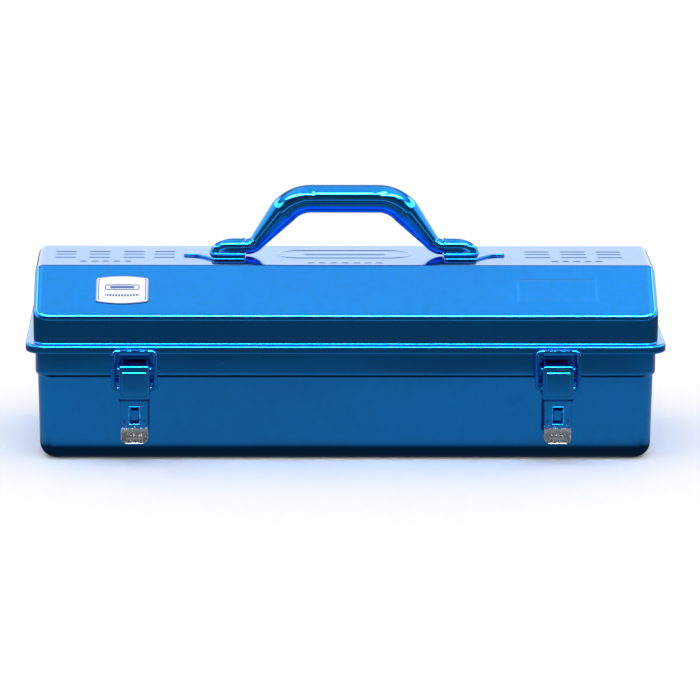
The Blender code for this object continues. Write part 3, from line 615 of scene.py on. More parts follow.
def fold_arc(before, at, after, radius, steps):
    """The round in place of a fold, for a whole array of stations: from tangent point to tangent point
    the spoke turns evenly, spoke = (sin((1-s)w) a + sin(s w) b) / sin w."""
    to_before = (before - at) / np.linalg.norm(before - at, axis=1)[:, None]
    to_after = (after - at) / np.linalg.norm(after - at, axis=1)[:, None]
    half = np.arccos(np.clip((to_before * to_after).sum(1), -1, 1)) / 2
    bisector = to_before + to_after
    bisector /= np.linalg.norm(bisector, axis=1)[:, None]
    centre = at + bisector * (radius / np.sin(half))[:, None]
    start = at + to_before * (radius / np.tan(half))[:, None] - centre
    end = at + to_after * (radius / np.tan(half))[:, None] - centre
    turn = np.pi - 2 * half
    share = np.linspace(0, 1, steps + 1)[None, :, None]
    turn = turn[:, None, None]
    spoke = (np.sin((1 - share) * turn) * start[:, None, :] + np.sin(share * turn)
        * end[:, None, :]) / np.sin(turn)
    return centre[:, None, :] + spoke


def between(start, end, shares):
    """Points on the straight from start to end, for a whole array of stations."""
    return start[:, None, :] + (end - start)[:, None, :] * shares[None, :, None]


def pressed_ribs(x, y):
    """Raised share, 0 to 1, of the ribs on the flat top: groups of plain bars either side, a long pad
    in the middle and small bars in front. Each is 1 inside a rounded rectangle and falls to 0 across
    its edge."""
    edge = 0.00035
    raised = np.zeros(np.broadcast(x, y).shape)

    def add(centre, half, corner, hollow=None):
        nonlocal raised
        distance = rounded_box_distance(x, y, centre, half, corner)
        if hollow is not None:
            distance = np.abs(distance + hollow) - hollow
        raised = np.maximum(raised, 1 - smoothstep(distance, -edge, edge))

    for group in RIB_GROUPS_LEFT:
        add((group, 0.0130), (0.0070, 0.0014), 0.0013)
        add((group, 0.0040), (0.0070, 0.0014), 0.0013)
        add((group, -0.0065), (0.0070, 0.0016), 0.0013)
    for group in RIB_GROUPS_RIGHT:
        add((group, 0.0130), (0.0085, 0.0014), 0.0013)
        add((group, 0.0040), (0.0085, 0.0014), 0.0013)
        add((group, -0.0065), (0.0085, 0.0016), 0.0013)
    for centre in (-0.1555, 0.1510):
        for step in range(-2, 3):
            add((centre + step * 0.0072, -0.0205), (0.0024, 0.0012), 0.0010)
    add((0.0, 0.0040), (0.0440, 0.0140), 0.0139, hollow=0.0011)
    add((0.0, 0.0040), (0.0270, 0.0026), 0.0025)
    for step in range(-3, 4):
        add((step * 0.0074, -0.0262), (0.0024, 0.0011), 0.0010)
    return raised


def name_frame(x, along):
    """Raised share of the plain rectangular frame on the front slope; along is measured up the slope."""
    distance = rounded_box_distance(x, along, (0.1362, -0.0004), (0.0257, 0.0110), 0.0016)
    return 1 - smoothstep(np.abs(distance + 0.0005), 0.00015, 0.0007)


def lid_section(x, inset, settings, shares_slope, shares_top):
    """(stations, points, 3) across the lid from front foot to back foot. At an end station the wall
    draws in round its plan corner, r - sqrt(r^2 - p^2), and the camber comes down round the end edge in
    the same way."""
    half_x = LID_HALF_X - inset

    def drawn_in(radius):
        past = np.clip(np.abs(x) - (half_x - radius), 0.0, radius)
        return radius - np.sqrt(np.maximum(radius ** 2 - past ** 2, 0.0))

    wall_in = drawn_in(settings.corner - inset)
    camber_in = drawn_in(settings.end_edge - inset)
    half_y = LID_HALF_Y - inset - wall_in
    top = LID_TOP - inset - camber_in
    lean = np.array([math.cos(SLOPE_ANGLE), math.sin(SLOPE_ANGLE)])
    normal = np.array([-lean[1], lean[0]])
    on_slope = np.array([-LID_HALF_Y, LID_WALL_TOP]) - (camber_in + inset)[:, None] * normal
    wall_top = on_slope + ((-half_y - on_slope[:, 0]) / lean[0])[:, None] * lean
    flat_edge = on_slope + ((top - on_slope[:, 1]) / lean[1])[:, None] * lean
    foot = np.stack([-half_y, np.full_like(x, RIM_TOP + settings.rim_root)], -1)
    middle = np.stack([np.zeros_like(x), top], -1)
    radius = settings.fold_radius - inset
    lower = fold_arc(foot, wall_top, flat_edge, radius, FOLD_STEPS)
    upper = fold_arc(wall_top, flat_edge, middle, radius, FOLD_STEPS)
    wall = between(foot, lower[:, 0], np.array([0.0, 0.06, 0.5, 0.94]))
    slope = between(lower[:, -1], upper[:, 0], shares_slope)
    front = np.concatenate([wall, lower, slope, upper], 1)
    flip = np.array([-1.0, 1.0])
    flat = between(upper[:, -1], upper[:, -1] * flip, shares_top)
    slope_back = slope[:, ::max(1, len(shares_slope) // 6)]
    back = np.concatenate([wall, lower, slope_back, upper], 1)[:, ::-1] * flip
    section = np.concatenate([front, flat, back], 1)
    places = np.repeat(x[:, None], section.shape[1], 1)
    points = np.stack([places, section[..., 0], section[..., 1]], -1)
    return points, len(wall[0]) + len(lower[0]), len(slope[0]), front.shape[1], len(shares_top)


def clustered(low, high, coarse, clusters):
    """Sorted numbers from low to high: an even coarse set, and finer ones in the (start, end, step)
    clusters."""
    values = [np.linspace(low, high, coarse)]
    for start, end, step in clusters:
        values.append(np.arange(start, end, step))
    every = np.unique(np.round(np.concatenate(values), 6))
    every = every[(every >= low) & (every <= high)]
    keep = np.concatenate([[True], np.diff(every) > 0.00022])
    keep[-1] = True
    return every[keep]


def lid_stations(inset, settings):
    """X of each station and the foot's normal there; the end corners are stepped by angle."""
    a = np.radians(np.linspace(0, 90, CORNER_ARC + 1))
    radius = settings.corner - inset
    right = LID_HALF_X - inset - radius + radius * np.sin(a)
    clusters = [(-0.1900, -0.1085, 0.00075), (-0.0455, 0.0456, 0.00090), (0.1165, 0.1845, 0.00085)]
    clusters += [(0.1095, 0.1120, 0.0003), (0.1605, 0.1630, 0.0003)]
    edge = LID_HALF_X - settings.corner - SUPPORT
    straight = clustered(-edge, edge, 60, clusters)
    x = np.concatenate([-right[::-1], straight, right])
    along = np.concatenate([-np.sin(a)[::-1], np.zeros_like(straight), np.sin(a)])
    across = np.concatenate([np.cos(a)[::-1], np.ones_like(straight), np.cos(a)])
    return x, along, across


def rim_path(settings):
    """(outward, height) down the rim's outer face: root fillet, flange, round edge, hem side, and the
    hem's curl with its folded leg. The inner face is the same path, moved in by the sheet along its
    normals."""
    root = arc((settings.rim_root, RIM_TOP + settings.rim_root), settings.rim_root, 180, 270, 6)
    edge = (RIM_BEYOND_LID - settings.rim_edge, RIM_TOP - settings.rim_edge)
    rounded = arc(edge, settings.rim_edge, 90, 0, 8)
    curl = arc((RIM_BEYOND_LID - HEM_RADIUS, RIM_BOTTOM + HEM_RADIUS), HEM_RADIUS, 0, -180, 10)
    leg = curl[-1] + np.array([0.0, RIM_RETURN])
    flange = [root[-1] + (SUPPORT / 2, 0), rounded[0] - (SUPPORT / 2, 0)]
    side = [rounded[-1] - (0, SUPPORT / 2), curl[0] + (0, SUPPORT / 2)]
    outer = np.concatenate([root, flange, rounded, side, curl, [leg]])
    step = np.gradient(outer, axis=0)
    step /= np.linalg.norm(step, axis=1)[:, None]
    inward = np.stack([step[:, 1], -step[:, 0]], -1)
    return outer, outer + inward * SHEET


def lid_shell_mesh(settings):
    shell = Shell()
    x, along, across = lid_stations(0.0, settings)
    slope_shares = clustered(0.0, 1.0, 12, [(0.18, 0.24, 0.008), (0.715, 0.775, 0.008)])
    flat_half = LID_FLAT_HALF - 0.0017
    rows_y = clustered(-0.0285, 0.0190, 24, [(-0.0280, -0.0185, 0.00062), (-0.0110, 0.0185, 0.00068)])
    top_shares = np.concatenate([[0.02], (rows_y + flat_half) / (2 * flat_half), [0.9, 0.98]])
    points, slope_at, slope_count, top_at, top_count = lid_section(x, 0.0, settings, slope_shares,
        top_shares)
    slope = points[:, slope_at:slope_at + slope_count]
    normal = np.array([0.0, -math.sin(SLOPE_ANGLE), math.cos(SLOPE_ANGLE)])
    middle = np.array([-(LID_HALF_Y + LID_FLAT_HALF) / 2, (LID_WALL_TOP + LID_TOP) / 2])
    up_slope = (slope[..., 1] - middle[0]) * math.cos(SLOPE_ANGLE) + (slope[..., 2] - middle[1]) * math.sin(
        SLOPE_ANGLE)
    slope += name_frame(slope[..., 0], up_slope)[..., None] * normal * settings.emboss * 0.7
    flat = points[:, top_at:top_at + top_count]
    flat[..., 2] += pressed_ribs(flat[..., 0], flat[..., 1]) * settings.emboss
    flat[..., 2] = np.minimum(flat[..., 2], LID_TOP + settings.emboss)
    shell.grid(points)
    shell.cap(points[0])
    shell.cap(points[-1], flip=True)

    inner_x, _, _ = lid_stations(SHEET, settings)
    few = np.linspace(0, 1, 5)[1:-1]
    inner = lid_section(inner_x, SHEET, settings, few, np.linspace(0, 1, 7)[1:-1])[0]
    shell.grid(inner, flip=True)
    shell.cap(inner[0], flip=True)
    shell.cap(inner[-1])

    foot = np.concatenate([points[:, 0], points[::-1, -1]])
    outward = np.concatenate([np.stack([along, -across], -1), np.stack([along, across], -1)[::-1]])
    inner_foot = np.concatenate([inner[:, 0], inner[::-1, -1]])
    outer_path, inner_path = rim_path(settings)
    rings = []
    for outward_by, z in outer_path:
        rings.append(np.column_stack([foot[:, :2] + outward * outward_by, np.full(len(foot), z)]))
    for outward_by, z in inner_path[::-1]:
        rings.append(np.column_stack([foot[:, :2] + outward * outward_by, np.full(len(foot), z)]))
    rings.append(inner_foot)
    shell.grid(np.stack(rings), wrap_columns=True)
    return shell.mesh("lid_shell_surface", weld=2e-6)


# ---------------------------------------------------------------- base pan
def pan_path(settings):
    """(outward, height) up the pan's outer face: floor radius, lower wall with its draft, a shoulder
    that follows half a cosine, upper wall, and the bead that rolls out and down."""
    foot = -(settings.shoulder_step + settings.draft)
    low = arc((foot - settings.bottom_radius, settings.bottom_radius), settings.bottom_radius, -90, 0, 14)
    share = np.linspace(0, 1, 11)
    shoulder = np.stack([
        -settings.shoulder_step * (0.5 + 0.5 * np.cos(np.pi * share)),
        settings.shoulder_z + settings.shoulder_rise * share], -1)
    wall = low[-1] + (shoulder[0] - low[-1]) * np.array([[0.03], [0.35], [0.7], [0.97]])
    bead_top = RIM_TOP - SHEET - GAP
    inner = settings.bead_radius - SHEET
    bead = arc((inner, bead_top - settings.bead_radius), inner, 180, -40, 14)
    upper = shoulder[-1] + (bead[0] - shoulder[-1]) * np.array([[0.04], [0.5], [0.96]])
    return np.concatenate([low, wall, shoulder, upper, bead])


def base_pan_mesh(settings):
    shell = Shell()
    outer = pan_path(settings)
    step = np.gradient(outer, axis=0)
    step /= np.linalg.norm(step, axis=1)[:, None]
    inward = np.stack([-step[:, 1], step[:, 0]], -1)
    inner = outer + inward * SHEET
    rings = []
    for outward, z in np.concatenate([outer, inner[::-1]]):
        places, _ = rounded_loop(
            PAN_HALF_X + outward, PAN_HALF_Y + outward, settings.corner + outward, 12, (14, 36))
        rings.append(np.column_stack([places, np.full(len(places), z)]))
    rings = np.stack(rings)
    shell.grid(rings, wrap_columns=True)
    shell.cap(rings[0], flip=True)
    shell.cap(rings[-1])
    return face_outwards(shell.mesh("base_pan_surface"))


# ---------------------------------------------------------------- label
def label_surface():
    """A film on the front slope: x = u w/2 and height v (h/2 - b + b (1 - u^2)), so top and bottom bow
    outward."""
    width = LABEL_HIGH.x - LABEL_LOW.x
    lean = Vector((0, math.cos(SLOPE_ANGLE), math.sin(SLOPE_ANGLE)))
    height = (LABEL_HIGH.y - LABEL_LOW.y) / math.cos(SLOPE_ANGLE)
    bulge = 0.0022
    across = np.linspace(-1, 1, 49)
    up = np.linspace(-1, 1, 25)
    u, v = np.meshgrid(across, up)
    along = v * (height / 2 - bulge * u ** 2)
    normal = np.array([0, -math.sin(SLOPE_ANGLE), math.cos(SLOPE_ANGLE)])
    centre = np.array([(LABEL_LOW.x + LABEL_HIGH.x) / 2, 0, 0])
    slope_middle = np.array([0, -(LID_HALF_Y + LID_FLAT_HALF) / 2, (LID_WALL_TOP + LID_TOP) / 2])
    base = centre + slope_middle + normal * 0.0006
    points = base + along[..., None] * np.array(lean)
    points[..., 0] += u * width / 2
    shell = Shell().grid(points)
    mesh = shell.mesh("label_surface")
    read = mesh.uv_layers.new(name="label")
    corner = np.zeros(len(mesh.loops), np.int32)
    mesh.loops.foreach_get("vertex_index", corner)
    places = np.zeros(len(mesh.vertices) * 3)
    mesh.vertices.foreach_get("co", places)
    places = places.reshape(-1, 3) - base
    u = places[:, 0] / (width / 2)
    v = places @ np.array(lean) / (height / 2 - bulge * u ** 2)
    read.data.foreach_set("uv", np.stack([u, v], -1)[corner].ravel())
    return mesh


# ---------------------------------------------------------------- handle
GRIP_Z = PIVOT_Z + 0.0319
GRIP_HALF = 0.0218
GRIP_BEND = 0.0240
FOOT_BEND = 0.0090
LEG_ANGLE = math.radians(50)
SPIGOT_RADIUS = 0.0039
SPIGOT_LENGTH = 0.0105      # as far as the dome's rounded hollow takes it; it is out of sight
LEG_RUN_OUT = 0.0004


def handle_line(settings):
    """(x, z), distance along, and radius on the right half of the handle: grip, bend, tapering leg,
    foot bend. The straights are cut evenly and the bends are arcs; the leg's radius falls in a line."""
    sine = math.sin(LEG_ANGLE)
    cosine = math.cos(LEG_ANGLE)
    grip = np.stack([np.linspace(0, GRIP_HALF, 45), np.full(45, GRIP_Z)], -1)
    bend = arc((GRIP_HALF, GRIP_Z - GRIP_BEND), GRIP_BEND, 90, 90 - math.degrees(LEG_ANGLE), 26)
    drop = bend[-1][1] - (PIVOT_Z + FOOT_BEND * (1 - cosine))
    foot_at = bend[-1] + np.array([drop * cosine / sine, -drop])
    leg = bend[-1] + (foot_at - bend[-1]) * np.linspace(0, 1, 31)[:, None]
    centre = (foot_at[0] + FOOT_BEND * sine, PIVOT_Z + FOOT_BEND)
    foot = arc(centre, FOOT_BEND, 270 - math.degrees(LEG_ANGLE), 270, 18)
    shoulder = foot[-1] + np.array([LEG_RUN_OUT, 0])
    line = np.concatenate([grip, bend[1:], leg[1:], foot[1:], [shoulder]])
    fall = np.zeros(len(line))
    start = len(grip) + len(bend) - 2
    fall[start:start + len(leg)] = np.linspace(0, 1, len(leg))
    fall[start + len(leg):] = 1.0
    radius = settings.grip_radius + (settings.leg_radius - settings.grip_radius) * fall
    return line, radius, shoulder[0]


def foot_end(settings):
    return handle_line(settings)[2]


def handle_surface(settings):
    """A round bar swept along the handle's line; a seam runs along its front lower side, and the inside
    of each grip bend has small dents: radius less depth times exp(-(angle/width)^2)."""
    line, radius, shoulder = handle_line(settings)
    end = shoulder + GAP + SPIGOT_LENGTH
    edge = 0.0004
    tail = np.array([
        [shoulder + GAP / 2, PIVOT_Z], [shoulder + GAP, PIVOT_Z], [end - edge, PIVOT_Z], [end, PIVOT_Z]])
    half = np.concatenate([line, tail])
    radius = np.concatenate(
        [radius, [SPIGOT_RADIUS + 0.0002, SPIGOT_RADIUS, SPIGOT_RADIUS, SPIGOT_RADIUS - edge]])
    mirrored = half[:0:-1] * np.array([-1.0, 1.0])
    whole = np.concatenate([mirrored, half])
    radii = np.concatenate([radius[:0:-1], radius])
    centres = np.stack([whole[:, 0], np.zeros(len(whole)), whole[:, 1]], -1)
    tangents = np.gradient(centres, axis=0)
    tangents /= np.linalg.norm(tangents, axis=1)[:, None]
    sides = 96
    angle = np.degrees(np.linspace(0, 2 * np.pi, sides, endpoint=False))
    angle = (angle + 180) % 360 - 180
    seam = np.exp(-((angle + 13.0) / 3.6) ** 2)
    on_bar = smoothstep(shoulder - np.abs(centres[:, 0]), 0.000, 0.004)
    rings = radii[:, None] - settings.seam_depth * seam[None, :] * on_bar[:, None]
    for place, turn, width in ((-0.0252, 44.0, 0.0011), (-0.0222, 38.0, 0.0009), (-0.0205, 33.0, 0.0008),
                               (0.0262, 36.0, 0.0011), (0.0240, 30.0, 0.0009), (0.0196, 41.0, 0.0010)):
        along = np.exp(-((centres[:, 0] - place) / width) ** 2)
        round_bar = np.exp(-((angle - turn) / 7.0) ** 2)
        rings -= settings.dent_depth * along[:, None] * round_bar[None, :]
    front = np.array([0.0, -1.0, 0.0])
    shell = swept_tube(Shell(), centres, tangents, front, rings, sides)
    return face_outwards(shell.mesh("handle_surface"))


# ---------------------------------------------------------------- handle brackets
BRACKET_SHEET = 0.0012
BRACKET_HALF_WIDTH = 0.0190
BRACKET_FLANGE = 0.0215
BRACKET_TONGUE = 0.0404
BRIDGE_RADIUS = SPIGOT_RADIUS + GAP + 0.0013
DOME_FLARE = 0.0011


def bracket_plate(shell, inner, side, floor):
    """The foot plate: a grid across whose half width falls from the flange to the leaf's stalk as
    exp(-((x - x1)/l)^1.4), with rounded front corners and a pointed tip; its edge is rounded over."""
    tip = inner + BRACKET_TONGUE
    start = inner + BRACKET_FLANGE - 0.0012
    corner = 0.0022
    x = np.concatenate([
        inner + corner * (1 - np.cos(np.linspace(0, np.pi / 2, 9))),
        np.linspace(inner + corner, start, 12)[1:], np.linspace(start, tip - 0.0012, 46)[1:],
        tip - 0.0012 * (1 - np.sin(np.linspace(0, np.pi / 2, 9)[1:]))])
    rise = np.clip(inner + corner - x, 0, corner)
    half = BRACKET_HALF_WIDTH - (corner - np.sqrt(np.maximum(corner ** 2 - rise ** 2, 0.0)))
    past = np.maximum(x - start, 0.0)
    stalk = 0.0048 - 0.0026 * smoothstep(x, start, tip - 0.002)
    half = stalk + (half - stalk) * np.exp(-(past / 0.0062) ** 1.4)
    close = np.clip((tip - x) / 0.0012, 0.0, 1.0)
    half = half * np.sqrt(np.maximum(1 - (1 - close) ** 2, 0.0))
    across = np.linspace(-1, 1, 27)
    edge = 0.0006
    top = floor + BRACKET_SHEET
    rings = []
    for turn in np.radians(np.linspace(90, 0, 6)):
        rings.append((edge * math.cos(turn) - edge, top - edge + edge * math.sin(turn)))
    rings.append((0.0, floor))
    shape = np.clip(half, 0.0, None)
    outline = np.concatenate([np.stack([x, -shape], -1), np.stack([x, shape], -1)[::-1]])
    step = np.gradient(np.concatenate([outline[-1:], outline, outline[:1]]), axis=0)[1:-1]
    length = np.maximum(np.linalg.norm(step, axis=1), 1e-9)[:, None]
    outward = np.stack([step[:, 1], -step[:, 0]], -1) / length
    loops = []
    for offset, z in rings:
        place = outline + outward * offset
        loops.append(np.column_stack([side * place[:, 0], place[:, 1], np.full(len(place), z)]))
    loops = np.stack(loops)
    shell.grid(loops, wrap_columns=True)
    count = len(x)
    front = loops[0][:count]
    back = loops[0][count:][::-1]
    share = (across[:, None, None] + 1) / 2
    shell.grid(front + (back - front) * share)
    front = loops[-1][:count]
    back = loops[-1][count:][::-1]
    shell.grid(front + (back - front) * share, flip=True)


def bracket_bridge(shell, inner, side, floor):
    """The bridge over the spigot, as levels from its foot to its ridge. Each level is a U in plan:
    straight sides at +-w, then half an ellipse w by l. Cheeks rise straight, then w = r cos t, and l =
    L sqrt(1 - (z/H)^2); the foot flares out by f - sqrt(f^2 - (f - z)^2). A collar stands proud at the
    open end."""
    top = floor + BRACKET_SHEET
    cheek = PIVOT_Z - top
    height = cheek + BRIDGE_RADIUS
    reach = 0.0160
    tip = inner + BRACKET_FLANGE + 0.0024 - 0.0008
    start = tip - reach
    flare_z = DOME_FLARE * (1 - np.cos(np.linspace(0, np.pi / 2, 8)))
    flare = DOME_FLARE - np.sqrt(np.maximum(DOME_FLARE ** 2 - (DOME_FLARE - flare_z) ** 2, 0.0))
    turn = np.linspace(0, np.pi / 2, 19)
    z = np.concatenate([flare_z, [(flare_z[-1] + cheek) / 2], cheek + BRIDGE_RADIUS * np.sin(turn)])
    width = np.concatenate([BRIDGE_RADIUS + flare, [BRIDGE_RADIUS], BRIDGE_RADIUS * np.cos(turn)])
    out = np.concatenate([flare, np.zeros(len(turn) + 1)])
    length = reach * np.sqrt(np.maximum(1 - (z / height) ** 2, 0.0)) + out
    collar = 0.0013
    straight = np.concatenate([
        [0.0, 0.00012], collar * np.linspace(0.25, 1.5, 10), np.linspace(collar * 1.8, start - inner, 8)])
    around = np.linspace(-np.pi / 2, np.pi / 2, 41)[1:-1]
    proud = 0.00042 * (1 - smoothstep(straight, collar * 0.75, collar * 1.35)) * smoothstep(straight,
        -0.0003, 0.0003)
    swell = 1 + proud[None, :] / BRIDGE_RADIUS * np.minimum(1.0, z / (0.3 * cheek))[:, None]
    sides_y = width[:, None] * swell
    sides_x = np.broadcast_to(inner + straight, sides_y.shape)
    lift = z[:, None] * np.ones_like(swell) + proud[None, :] * (np.maximum(z - cheek, 0) / BRIDGE_RADIUS)[:,
        None]
    round_x = start + length[:, None] * np.cos(around)[None, :]
    round_y = width[:, None] * np.sin(around)[None, :]
    level_x = np.concatenate([sides_x, round_x, sides_x[:, ::-1]], 1)
    level_y = np.concatenate([-sides_y, round_y, sides_y[:, ::-1]], 1)
    level_z = np.concatenate([lift, np.repeat(z[:, None], len(around), 1), lift[:, ::-1]], 1)
    outer = np.stack([side * level_x, level_y, top - 0.00004 + level_z], -1)
    shell.grid(outer)
    bore = BRIDGE_RADIUS - 0.0013
    inner_width = np.minimum(width, BRIDGE_RADIUS) * bore / BRIDGE_RADIUS
    inner_z = np.concatenate([np.linspace(0, cheek, len(z) - len(turn)), cheek + bore * np.sin(turn)])
    inner_length = (length - out) * 0.86
    back_x = np.concatenate([
        sides_x, start + inner_length[:, None] * np.cos(around)[None, :], sides_x[:, ::-1]], 1)
    back_y = np.concatenate([
        -np.repeat(inner_width[:, None], len(straight), 1), inner_width[:, None] * np.sin(around)[None, :],
        np.repeat(inner_width[:, None], len(straight), 1)], 1)
    back_z = np.repeat(inner_z[:, None], back_x.shape[1], 1)
    hollow = np.stack([side * back_x, back_y, top - 0.00004 + back_z], -1)
    shell.grid(hollow, flip=True)
    shell.grid(np.stack([outer[:, 0], hollow[:, 0]]))
    shell.grid(np.stack([hollow[:, -1], outer[:, -1]]))
    shell.grid(np.stack([hollow[0], outer[0]]))


def bracket_surface(side, handle_settings):
    inner = foot_end(handle_settings) + GAP * 2
    floor = LID_TOP + GAP
    plate = Shell()
    bracket_plate(plate, inner - GAP, side, floor)
    bridge = Shell()
    bracket_bridge(bridge, inner, side, floor)
    plate_mesh = face_outwards(plate.mesh("bracket_plate"))
    bridge_mesh = face_outwards(bridge.mesh("bracket_bridge"))
    bm = bmesh.new()
    bm.from_mesh(plate_mesh)
    bm.from_mesh(bridge_mesh)
    joined = bpy.data.meshes.new("bracket_surface")
    bm.to_mesh(joined)
    bm.free()
    bpy.data.meshes.remove(plate_mesh)
    bpy.data.meshes.remove(bridge_mesh)
    joined.shade_smooth()
    joined.set_sharp_from_angle(angle=math.radians(50))
    return joined


# ---------------------------------------------------------------- latches
LATCH_FROM_MIDDLE = 0.1358
BAR_Z = 0.0737
BAR_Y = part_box("bail_left")[0].y + 0.0015
LEVER_PIVOT_Y = BAR_Y - 0.0007
LEVER_PIVOT_Z = 0.0620
BAIL_PIVOT_Z = 0.0495
LEVER_FACE_Y = LEVER_PIVOT_Y - 0.0042
LEVER_TOP_Z = 0.0655
LEVER_HALF_WIDTH = 0.0100
TIP_HALF_WIDTH = 0.0089
FACE_BOTTOM_Z = 0.0427
RECESS = 0.0018
CHEEK_DEPTH = 0.0085
TIP_TOP_Z = 0.0230
TIP_BOTTOM_Z = 0.0144
TIP_FLARE = 0.0016
WINDOW_HALF_WIDTH = 0.0034
WINDOW_BOTTOM_Z = 0.0270
WINDOW_TOP_Z = 0.0382
PANEL_HALF_WIDTH = 0.0077
PANEL_BOTTOM_Z = 0.0472
PANEL_TOP_Z = 0.0609
PANEL_RISE = 0.0005
PIN_RADIUS = 0.0014
PIN_HEAD_RADIUS = 0.0024


def lever_surface(middle):
    """Rows down the lever, each a channel in plan: cheek, round corner, face, round corner, cheek. The
    rows' path (in, z) turns in over the top, runs down the face, steps back in half a cosine, and
    flares out at the tip."""
    top_round = 0.0017
    over = arc((top_round, LEVER_TOP_Z - top_round), top_round, 90, 180, 8)
    entry = np.array([[0.0046, LEVER_TOP_Z], [0.0032, LEVER_TOP_Z]])
    fine = clustered(FACE_BOTTOM_Z + 0.0015, LEVER_TOP_Z - top_round - 0.0004, 26, [
        (PANEL_BOTTOM_Z - 0.0008, PANEL_BOTTOM_Z + 0.0008, 0.00025),
        (PANEL_TOP_Z - 0.0008, PANEL_TOP_Z + 0.0008, 0.00025)])
    face = np.stack([np.zeros(len(fine)), fine[::-1]], -1)
    share = np.linspace(0, 1, 11)
    step_z = FACE_BOTTOM_Z + 0.0012 - 0.0024 * share
    step = np.stack([RECESS * (0.5 - 0.5 * np.cos(np.pi * share)), step_z], -1)
    low_z = np.concatenate([
        np.linspace(step_z[-1] - 0.0004, WINDOW_TOP_Z, 8),
        np.linspace(WINDOW_TOP_Z, WINDOW_BOTTOM_Z, 18)[1:],
        np.linspace(WINDOW_BOTTOM_Z, TIP_TOP_Z, 8)[1:]])
    low = np.stack([np.full(len(low_z), RECESS), low_z], -1)
    fall = np.linspace(0, 1, 19)[1:]
    tip = np.stack([RECESS - TIP_FLARE * fall ** 1.5, TIP_TOP_Z + (TIP_BOTTOM_Z - TIP_TOP_Z) * fall], -1)
    path = np.concatenate([entry, over, face, step, low, tip])
    z = path[:, 1]
    inward = path[:, 0]
    half = TIP_HALF_WIDTH + (LEVER_HALF_WIDTH - TIP_HALF_WIDTH) * smoothstep(z, FACE_BOTTOM_Z - 0.0030,
        FACE_BOTTOM_Z + 0.0006)
    shoulder = np.clip((z - (LEVER_TOP_Z - 0.0036)) / 0.0036, 0, 1)
    half = half - 0.0010 * shoulder ** 2
    drop = np.clip((TIP_BOTTOM_Z + 0.0030 - z) / 0.0030, 0, 1)
    half = half - 0.0030 * (1 - np.sqrt(1 - drop ** 2))
    radius = np.full_like(z, 0.0013)
    depth = 0.0012 + 0.0014 * smoothstep(z, TIP_TOP_Z + 0.001,
        0.0310) + (CHEEK_DEPTH - 0.0026) * smoothstep(z, 0.0310, 0.0452)
    depth = np.maximum(depth - inward, 0.0011 + 0.0002 * (z > 0))
    q = np.array(
        [0, 0.11, 0.22, 0.33, 0.4, 0.4416, 0.46, 0.54, 0.62, 0.70, 0.76, 0.80, 0.82, 0.835, 0.85, 0.865,
        0.88,
                  0.895, 0.91, 0.94, 0.97, 1.0])
    flat = half - radius
    x = [flat[:, None] * q[None, :]]
    y = [np.zeros((len(z), len(q)))]
    turn = np.radians(np.linspace(0, 90, 8)[1:])
    x.append(flat[:, None] + radius[:, None] * np.sin(turn))
    y.append(radius[:, None] * (1 - np.cos(turn)))
    down = np.linspace(0, 1, 6)[1:]
    x.append(np.repeat(half[:, None], len(down), 1))
    y.append(radius[:, None] + np.maximum(depth - radius, 0.00005)[:, None] * down)
    x = np.concatenate(x, 1)
    y = np.concatenate(y, 1) + inward[:, None]
    rise = rounded_box_distance(
        x, z[:, None], (0.0, (PANEL_TOP_Z + PANEL_BOTTOM_Z) / 2),
        (PANEL_HALF_WIDTH, (PANEL_TOP_Z - PANEL_BOTTOM_Z) / 2),
        0.0008)
    y -= PANEL_RISE * (1 - smoothstep(rise, -0.0004, 0.0003))
    crease = np.exp(-((x - 0.00645) / 0.00042) ** 2) * smoothstep(z, 0.0275, 0.0305)[:, None]
    y += 0.00042 * crease * (1 - smoothstep(z, 0.0405, 0.0425))[:, None]
    pad = rounded_box_distance(x, z[:, None], (0.0, 0.0187), (0.0055, 0.0011), 0.0010)
    y -= 0.00022 * (1 - smoothstep(pad, -0.0004, 0.0004))
    x = np.concatenate([-x[:, :0:-1], x], 1)
    y = np.concatenate([y[:, :0:-1], y], 1)
    points = np.stack([middle + x, LEVER_FACE_Y + y, np.repeat(z[:, None], x.shape[1], 1)], -1)
    cell_x = np.abs((x[:-1, :-1] + x[1:, 1:]) / 2)
    cell_z = ((z[:-1] + z[1:]) / 2)[:, None]
    opening = (cell_x < WINDOW_HALF_WIDTH) & (cell_z > WINDOW_BOTTOM_Z) & (cell_z < WINDOW_TOP_Z)
    shell = Shell().grid(points, keep=~opening)
    return shell.mesh("lever_surface", sharp=60)


def bail_surface(middle, settings):
    """A wire swept along a rounded loop: stub, corner arc, leg, corner arc and the bar, mirrored."""
    stub = LEVER_HALF_WIDTH - 0.0020
    half_width = 0.01335
    corner = 0.0030
    legs = np.stack([np.full(9, half_width), np.linspace(BAIL_PIVOT_Z + corner, BAR_Z - corner, 9)],
        -1)[1:-1]
    half = np.concatenate([
        [[stub, BAIL_PIVOT_Z]], arc((half_width - corner, BAIL_PIVOT_Z + corner), corner, -90, 0, 10), legs,
        arc((half_width - corner, BAR_Z - corner), corner, 0, 90, 10),
        np.stack([np.linspace(half_width - corner, 0, 6), np.full(6, BAR_Z)], -1)[1:]])
    whole = np.concatenate([half, (half * np.array([-1.0, 1.0]))[-2::-1]])
    centres = np.stack([middle + whole[:, 0], np.full(len(whole), BAR_Y), whole[:, 1]], -1)
    tangents = np.gradient(centres, axis=0)
    tangents /= np.linalg.norm(tangents, axis=1)[:, None]
    radii = np.full(len(whole), settings.wire_radius)
    front = np.array([0.0, -1.0, 0.0])
    return face_outwards(swept_tube(Shell(), centres, tangents, front, radii, 24).mesh("bail_surface"))


CATCH_STEM_TOP = 0.0755
CATCH_MOUTH = 0.00175
CATCH_TURN = 0.0020
CATCH_HALF_WIDTH = 0.0096
CATCH_LIP_ABOVE_BAR = 0.0014


